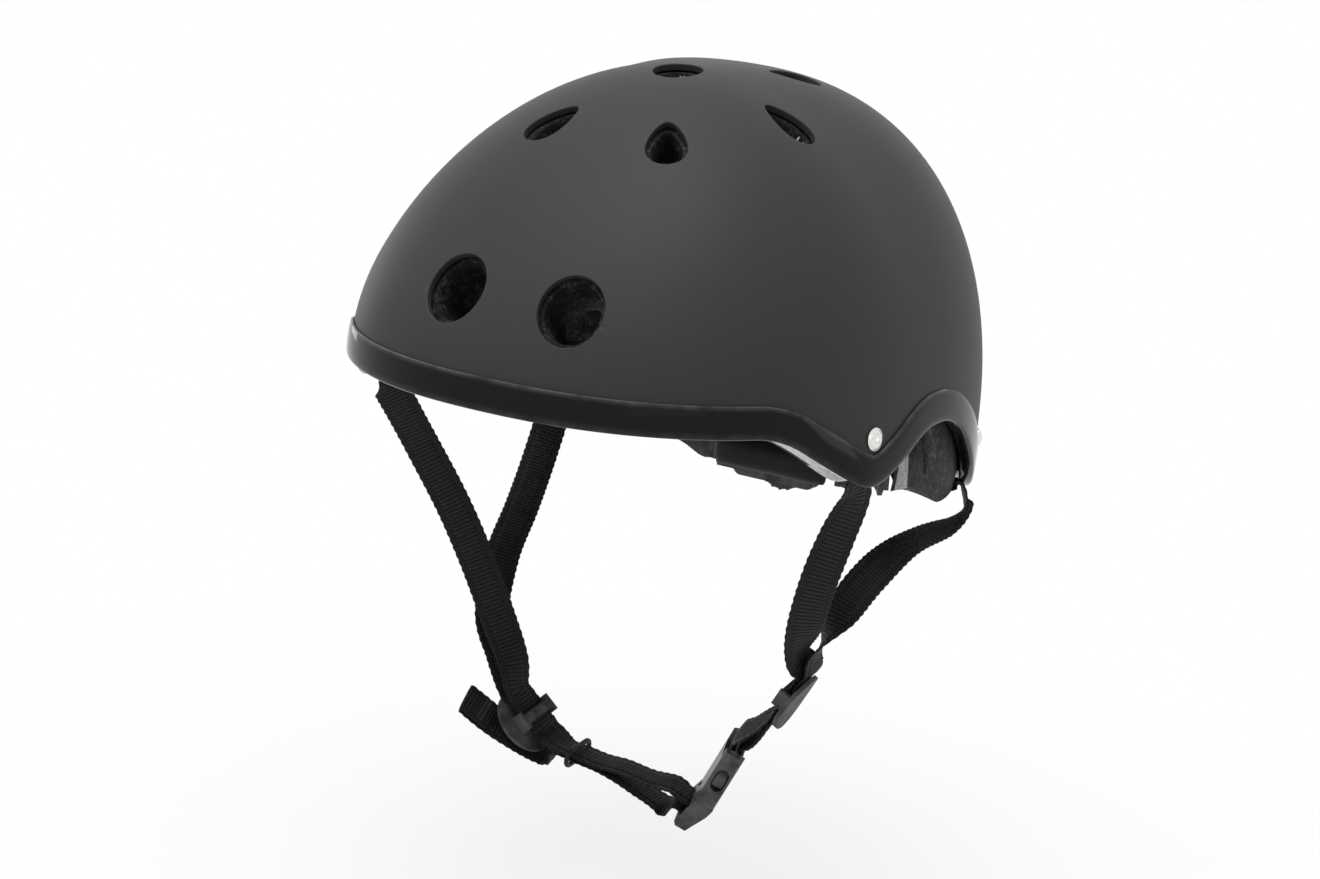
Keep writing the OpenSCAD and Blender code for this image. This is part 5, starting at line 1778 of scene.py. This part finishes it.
    def chin_right(self) -> list[Station]:
        """Route from the right divider through the ring, round the plug's bar and back to the tail."""
        b, ring, tail, r = self.buckle, self.ring, self.tail, self.bar_r
        wide, w, tail_w = -b.y, ring.z, tail.y
        made = [(self.right.point(x, -self.layer), -self.right.width) for x in (0.1, 5.0, 9.5)]
        made += [(ring.origin + ring.x * x + ring.y * self.layer, w) for x in (-7, 3, 12)]
        made += [station(0, -4.4, -172.2, w), station(12, -4.6, -173.4, w)]
        made += [(b.at(33.15, -4.4, 14), wide), (b.at(31.95, -0.9, 8), wide), (b.at(31.95, 0, 4), wide)]
        made += [(b.at(34.2 - r * sin_d(a), 0, -r * cos_d(a)), wide) for a in (60, 0, -60)]
        made += [(b.at(36.45, 0, 4.5), wide), (b.at(36.45, -0.4, 9), wide)]
        made += [station(22.1, -5.6, -182.2, wide), station(10.8, -4.8, -179.6, w)]
        made.append(station(-1, -5, -175.6, w))
        made += [(ring.origin + ring.x * x - ring.y * self.layer, w) for x in (12, 3, -7)]
        made.append(station(-34.6, -2.2, -175.6, (-0.2, 0.93, 0.3)))
        made.append(station(-41.9, -1.4, -176.4, (-0.2, 0.9, 0.4)))
        made += [station(-51.8, -12.5, -167.8, tail_w), station(-59.2, -18.3, -161.9, tail_w)]
        made.append((tail.origin, tail_w))
        fold_over = ((1.2, 0.3), (1.6, 0.95), (1.2, 1.6), (-4.0, self.fold_out), (-12.0, self.fold_out))
        return made + [(tail.at(a, 0, out), tail_w) for a, out in fold_over]

    @staticmethod
    def through(route: list[Station], i: int, t: float) -> Station:
        """Catmull-Rom point between two of a route's stations."""
        pick = [route[max(i - 1, 0)], route[i], route[i + 1], route[min(i + 2, len(route) - 1)]]

        def spline(a: Vector, b: Vector, c: Vector, d: Vector) -> Vector:
            """The spline through b and c."""
            square, cube = a * 2 - b * 5 + c * 4 - d, b * 3 - a - c * 3 + d
            return (b * 2 + (c - a) * t + square * t**2 + cube * t**3) * 0.5

        return spline(*(p[0] for p in pick)), spline(*(p[1] for p in pick))

    def even(self, route: list[Station], step: float) -> list[Station]:
        """Resamples a route at even steps along it.

        Args:
            route: The route's stations.
            step: Distance between the new ones, in millimetres.

        Returns:
            The new stations.
        """
        dense = [self.through(route, i, j / 40) for i in range(len(route) - 1) for j in range(40)]
        dense.append(route[-1])
        made, walked, due = [dense[0]], 0.0, step
        for (p, u), (q, v) in zip(dense, dense[1:]):
            size = (q - p).length
            while size > 0 and due <= walked + size:
                k = (due - walked) / size
                made.append((p.lerp(q, k), u.lerp(v, k)))
                due += step
            walked += size
        return made

    def section(self, rib: float, wave: float) -> list[tuple[float, float]]:
        """Cross section of the webbing, as (across, out).

        Args:
            rib: Height of the rib here, from 0 to 1.
            wave: How far the scalloped edge stands out here, from 0 to 1.

        Returns:
            The section's points.
        """
        w = self.width / 2 - 0.34 * (1 - wave)
        crest = self.thick / 2 - 0.3 * (1 - rib)
        edge = self.thick / 2 * (0.62 + 0.16 * wave)
        upper = [(-w + 0.25, edge * 0.8), (-w + 0.9, edge), (-w + 2.1, edge * 1.08), (-w + 2.6, edge * 0.78)]
        upper += [(-4.5 + 1.8 * i, crest) for i in range(6)]
        upper += [(w - 2.6, edge * 0.78), (w - 2.1, edge * 1.08), (w - 0.9, edge), (w - 0.25, edge * 0.8)]
        side = [(w, 0.12), (w, -0.12)]
        return upper + side + [(-x, -y) for x, y in upper] + [(-x, -y) for x, y in side]

    def weave(self, name: str, route: list[Station]) -> Piece:
        """Sweeps the ribbed section along a route.

        Args:
            name: The strap's name.
            route: Its stations.

        Returns:
            The strap, dressed.
        """
        step = self.rib / 4
        line = self.even(route, step)
        rings, cloth, count = [], [], len(line)
        for i, (p, w) in enumerate(line):
            f = (line[min(i + 1, count - 1)][0] - line[max(i - 1, 0)][0]).normalized()
            x = square_to(w, f)
            y = f.cross(x)
            section = self.section((0.0, 0.75, 1.0, 0.75)[i % 4], 0.5 + 0.5 * cos_d(i * 45))
            rings.append([p + x * a + y * b for a, b in section])
            cloth += [(a + CLOTH_MIDDLE, i * step) for a, _ in section]
        strap = loft(name, rings, Cap.FLAT, 75)
        set_uv(strap, cloth)
        Finish.WEB.dress(strap)
        return strap

    def build(self) -> list[Piece]:
        """Builds the six straps."""
        made = []
        for name, node, route in (
            ("ribbed_front_left", "front_strap_left", self.front_left()),
            ("ribbed_rear_left", "rear_strap_left", self.rear_left()),
            ("ribbed_front_right", "front_strap_right", self.front_right()),
            ("ribbed_rear_right", "rear_strap_right", self.rear_right()),
            ("ribbed_chin_left", "chin_strap_left", self.chin_left()),
        ):
            strap = self.weave(name, route)
            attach(strap, "helmet")
            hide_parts(node)
            made.append(strap)
        chin = self.weave("ribbed_chin_right", self.chin_right())
        start, end = Vector((-14, -5.5, -172)) * MM, self.buckle.at(30, 0, 8) * MM
        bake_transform(chin)
        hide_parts("chin_strap_right")
        return [*made, chin, self.tail_stitches()]

    def tail_stitches(self) -> Piece:
        """Sewn box of close stitches that holds the tail's fold."""
        tail = self.tail
        axes = Axes(tail.origin, tail.x, square_to(tail.y, tail.x), tail.z)
        points: Ring = []
        faces: list[Face] = []
        for row, along in enumerate((-8.2, -6.6)):
            for k in range(self.stitches):
                side = -self.sewn_half + 2 * self.sewn_half * k / (self.stitches - 1)
                lean_by = 0.28 if (k + row) % 2 else -0.28
                stitch = []
                for i in range(9):
                    t = -1 + i / 4
                    height = self.fold_out + 0.62 + 0.24 * (1 - t**4) - 0.32 * t**6
                    stitch.append(axes.at(along + 0.72 * t, side + lean_by * t, height))
                self.add_thread(points, faces, stitch, 0.2)
        seam = make_object("tail_stitching", points, faces, 60)
        Finish.THREAD.dress(seam)
        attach(seam, "helmet")
        return seam

    @staticmethod
    def add_thread(points: Ring, faces: list[Face], line: Ring, radius: float) -> None:
        """Adds one closed tube of thread to a mesh's points and faces.

        Args:
            points: The mesh's points so far.
            faces: The mesh's faces so far.
            line: The thread's middle line.
            radius: Its radius.
        """
        rings = []
        for i, p in enumerate(line):
            f = (line[min(i + 1, len(line) - 1)] - line[max(i - 1, 0)]).normalized()
            x = f.cross(Vector((0.3, 0.2, 0.9))).normalized()
            y = f.cross(x)
            r = radius * (0.7 if i in (0, len(line) - 1) else 1.0)
            rings.append([p + x * r * cos_d(60 * k) + y * r * sin_d(60 * k) for k in range(6)])
        add_tube(points, faces, rings)

    def keeper(self) -> Piece:
        """The rubber ring drawn out flat round the webbing."""
        half_w, end_r, r = 6.0, 3.3, 1.0
        flat = Axes(self.ring.origin, square_to(self.ring.z, self.ring.x), self.ring.y, self.ring.x)
        bend, along = [7.5 * i for i in range(25)], [2 * half_w * i / 8 for i in range(1, 8)]
        path = [(half_w + end_r * sin_d(a), end_r * cos_d(a)) for a in bend]
        path += [(half_w - x, -end_r) for x in along]
        path += [(-half_w - end_r * sin_d(a), -end_r * cos_d(a)) for a in bend]
        path += [(-half_w + x, end_r) for x in along]
        rings, n = [], len(path)
        for i, (a, b) in enumerate(path):
            (a0, b0), (a1, b1) = path[i - 1], path[(i + 1) % n]
            size = math.hypot(a1 - a0, b1 - b0)
            oa, ob = (b1 - b0) / size, -(a1 - a0) / size
            ring = []
            for k in range(20):
                c, s = cos_d(18 * k), sin_d(18 * k)
                c, s = sign_of(c) * abs(c) ** 0.8, sign_of(s) * abs(s) ** 0.8
                ring.append(flat.at(a + oa * r * c, b + ob * r * c, r * s))
            rings.append(ring)
        band = loft("strap_keeper", rings, Cap.LOOP, 60)
        Finish.RUBBER.dress(band)
        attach(band, "ring")
        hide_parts("keeper_ring")
        return band


# Studio


@dataclass(frozen=True)
class SoftLamp:
    """A square soft lamp."""

    name: str
    at: tuple[float, float, float]
    size: float
    watts: float


@dataclass
class Studio:
    """Camera at the photograph's angle, pale floor, soft lamps."""

    middle: tuple[float, float, float] = (0.0, 0.0, -0.018)
    away: float = 1.3
    lens: float = 88.64
    shift: tuple[float, float] = (-0.0015, -0.030)
    back: tuple[float, float, float] = (0.478, -0.849, 0.225)
    up: tuple[float, float, float] = (-0.189, 0.151, 0.970)
    floor_z: float = -0.222
    floor_size: float = 14.0
    fade_r: tuple[float, float] = (0.05, 0.4)
    fade_from: float = 0.84
    sky: float = 0.24
    lamps: tuple[SoftLamp, ...] = (
        SoftLamp("overhead", (-0.1, -0.35, 1.75), 1.5, 29.0),
        SoftLamp("key left", (-1.45, -1.2, 1.0), 0.8, 3.6),
        SoftLamp("fill right", (1.3, -1.5, 0.75), 1.2, 1.2),
        SoftLamp("edge right", (0.97, 0.25, -0.02), 0.26, 0.3),
        SoftLamp("edge left", (-1.0, 0.42, 0.02), 0.26, 0.35),
    )

    def build(self) -> None:
        """Places the camera, the floor, the lamps and the world."""
        self.camera()
        self.floor()
        for lamp in self.lamps:
            self.lamp(lamp)
        self.world()
        bpy.context.scene.view_settings.view_transform = "Standard"

    def camera(self) -> None:
        """Makes the camera."""
        data = bpy.data.cameras.new("camera")
        data.sensor_width, data.lens = 36.0, self.lens
        data.shift_x, data.shift_y = self.shift
        data.clip_start, data.clip_end = 0.05, 60.0
        camera = add_object("camera", data)
        back = Vector(self.back).normalized()
        right = Vector(self.up).cross(back).normalized()
        turned = Matrix((right, back.cross(right), back)).transposed().to_4x4()
        camera.matrix_world = Matrix.Translation(Vector(self.middle) + back * self.away) @ turned
        bpy.context.scene.camera = camera

    def seen(self, w: Wiring) -> Socket:
        """1 where a camera, glossy or transmission ray looks."""
        path = w.node("ShaderNodeLightPath")
        either = w.math("MAXIMUM", path.outputs["Is Camera Ray"], path.outputs["Is Glossy Ray"])
        return w.math("MAXIMUM", either, path.outputs["Is Transmission Ray"])

    def floor(self) -> None:
        """Makes the floor, which fades to white away from the object and keeps its shadow."""
        bm = bmesh.new()
        bmesh.ops.create_grid(bm, x_segments=48, y_segments=48, size=self.floor_size)
        mesh = bpy.data.meshes.new("studio_floor")
        bm.to_mesh(mesh)
        bm.free()
        floor = add_object("studio_floor", mesh)
        floor.location.z = self.floor_z
        made, w, shader = new_material("pale floor")
        w.fill(shader, {"Base Color": grey(0.93), "Roughness": 0.9, "Specular IOR Level": 0.0})
        reach = w.node("ShaderNodeVectorMath", {0: w.object_point()}, operation="LENGTH").outputs["Value"]
        share = w.times(w.remap(reach, *self.fade_r, self.fade_from, 1.0), self.seen(w))
        white = w.node("ShaderNodeEmission", {"Color": WHITE, "Strength": 1.0})
        both = w.node("ShaderNodeMixShader", {0: share, 1: shader.outputs[0], 2: white.outputs[0]})
        w.fill(w.tree.nodes["Material Output"], {"Surface": both.outputs[0]})
        mesh.materials.append(made)

    @staticmethod
    def lamp(lamp: SoftLamp) -> None:
        """Makes one lamp, turned towards the helmet."""
        data = bpy.data.lights.new(lamp.name, "AREA")
        data.shape, data.size, data.energy = "SQUARE", lamp.size, lamp.watts
        made = add_object(lamp.name, data)
        made.location = lamp.at
        made.rotation_mode = "QUATERNION"
        made.rotation_quaternion = Vector(lamp.at).to_track_quat("Z", "Y")

    def world(self) -> None:
        """Makes the world: white where it is seen, softer where it lights."""
        world = bpy.data.worlds.new("studio")
        world.use_nodes = True
        bpy.context.scene.world = world
        w = Wiring(world.node_tree)
        soft = world.node_tree.nodes["Background"]
        w.fill(soft, {"Color": WHITE, "Strength": self.sky})
        white = w.node("ShaderNodeBackground", {"Color": WHITE, "Strength": 1.0})
        both = w.node("ShaderNodeMixShader", {0: self.seen(w), 1: soft.outputs[0], 2: white.outputs[0]})
        w.fill(world.node_tree.nodes["World Output"], {"Surface": both.outputs[0]})


# The whole helmet


def note(piece: Piece) -> None:
    """Reports one piece."""
    LOG.info("%s: %d faces", piece.name, len(piece.data.polygons))


def main() -> None:
    """Builds the helmet's pieces in order and reports each one."""
    logging.basicConfig(level=logging.INFO, format="%(message)s")
    for leftover in list(bpy.data.objects):
        bpy.data.objects.remove(leftover)
    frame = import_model()
    Studio().build()
    vents = Vents()
    note(Shell().build(vents))
    note(EdgeTrim().build())
    note(Liner().build(vents))
    rivets = Rivets()
    note(rivets.build("dome_rivets_front", (0, 2), "front_rivets"))
    note(rivets.build("dome_rivets_rear", (1, 3), "rear_rivets"))
    for pad in Pads().build():
        note(pad)
    for moulding in MOULDINGS:
        note(moulding.build(frame))
    harness = Harness()
    for strap in harness.build():
        note(strap)
    note(harness.keeper())


if __name__ == "__main__":
    main()
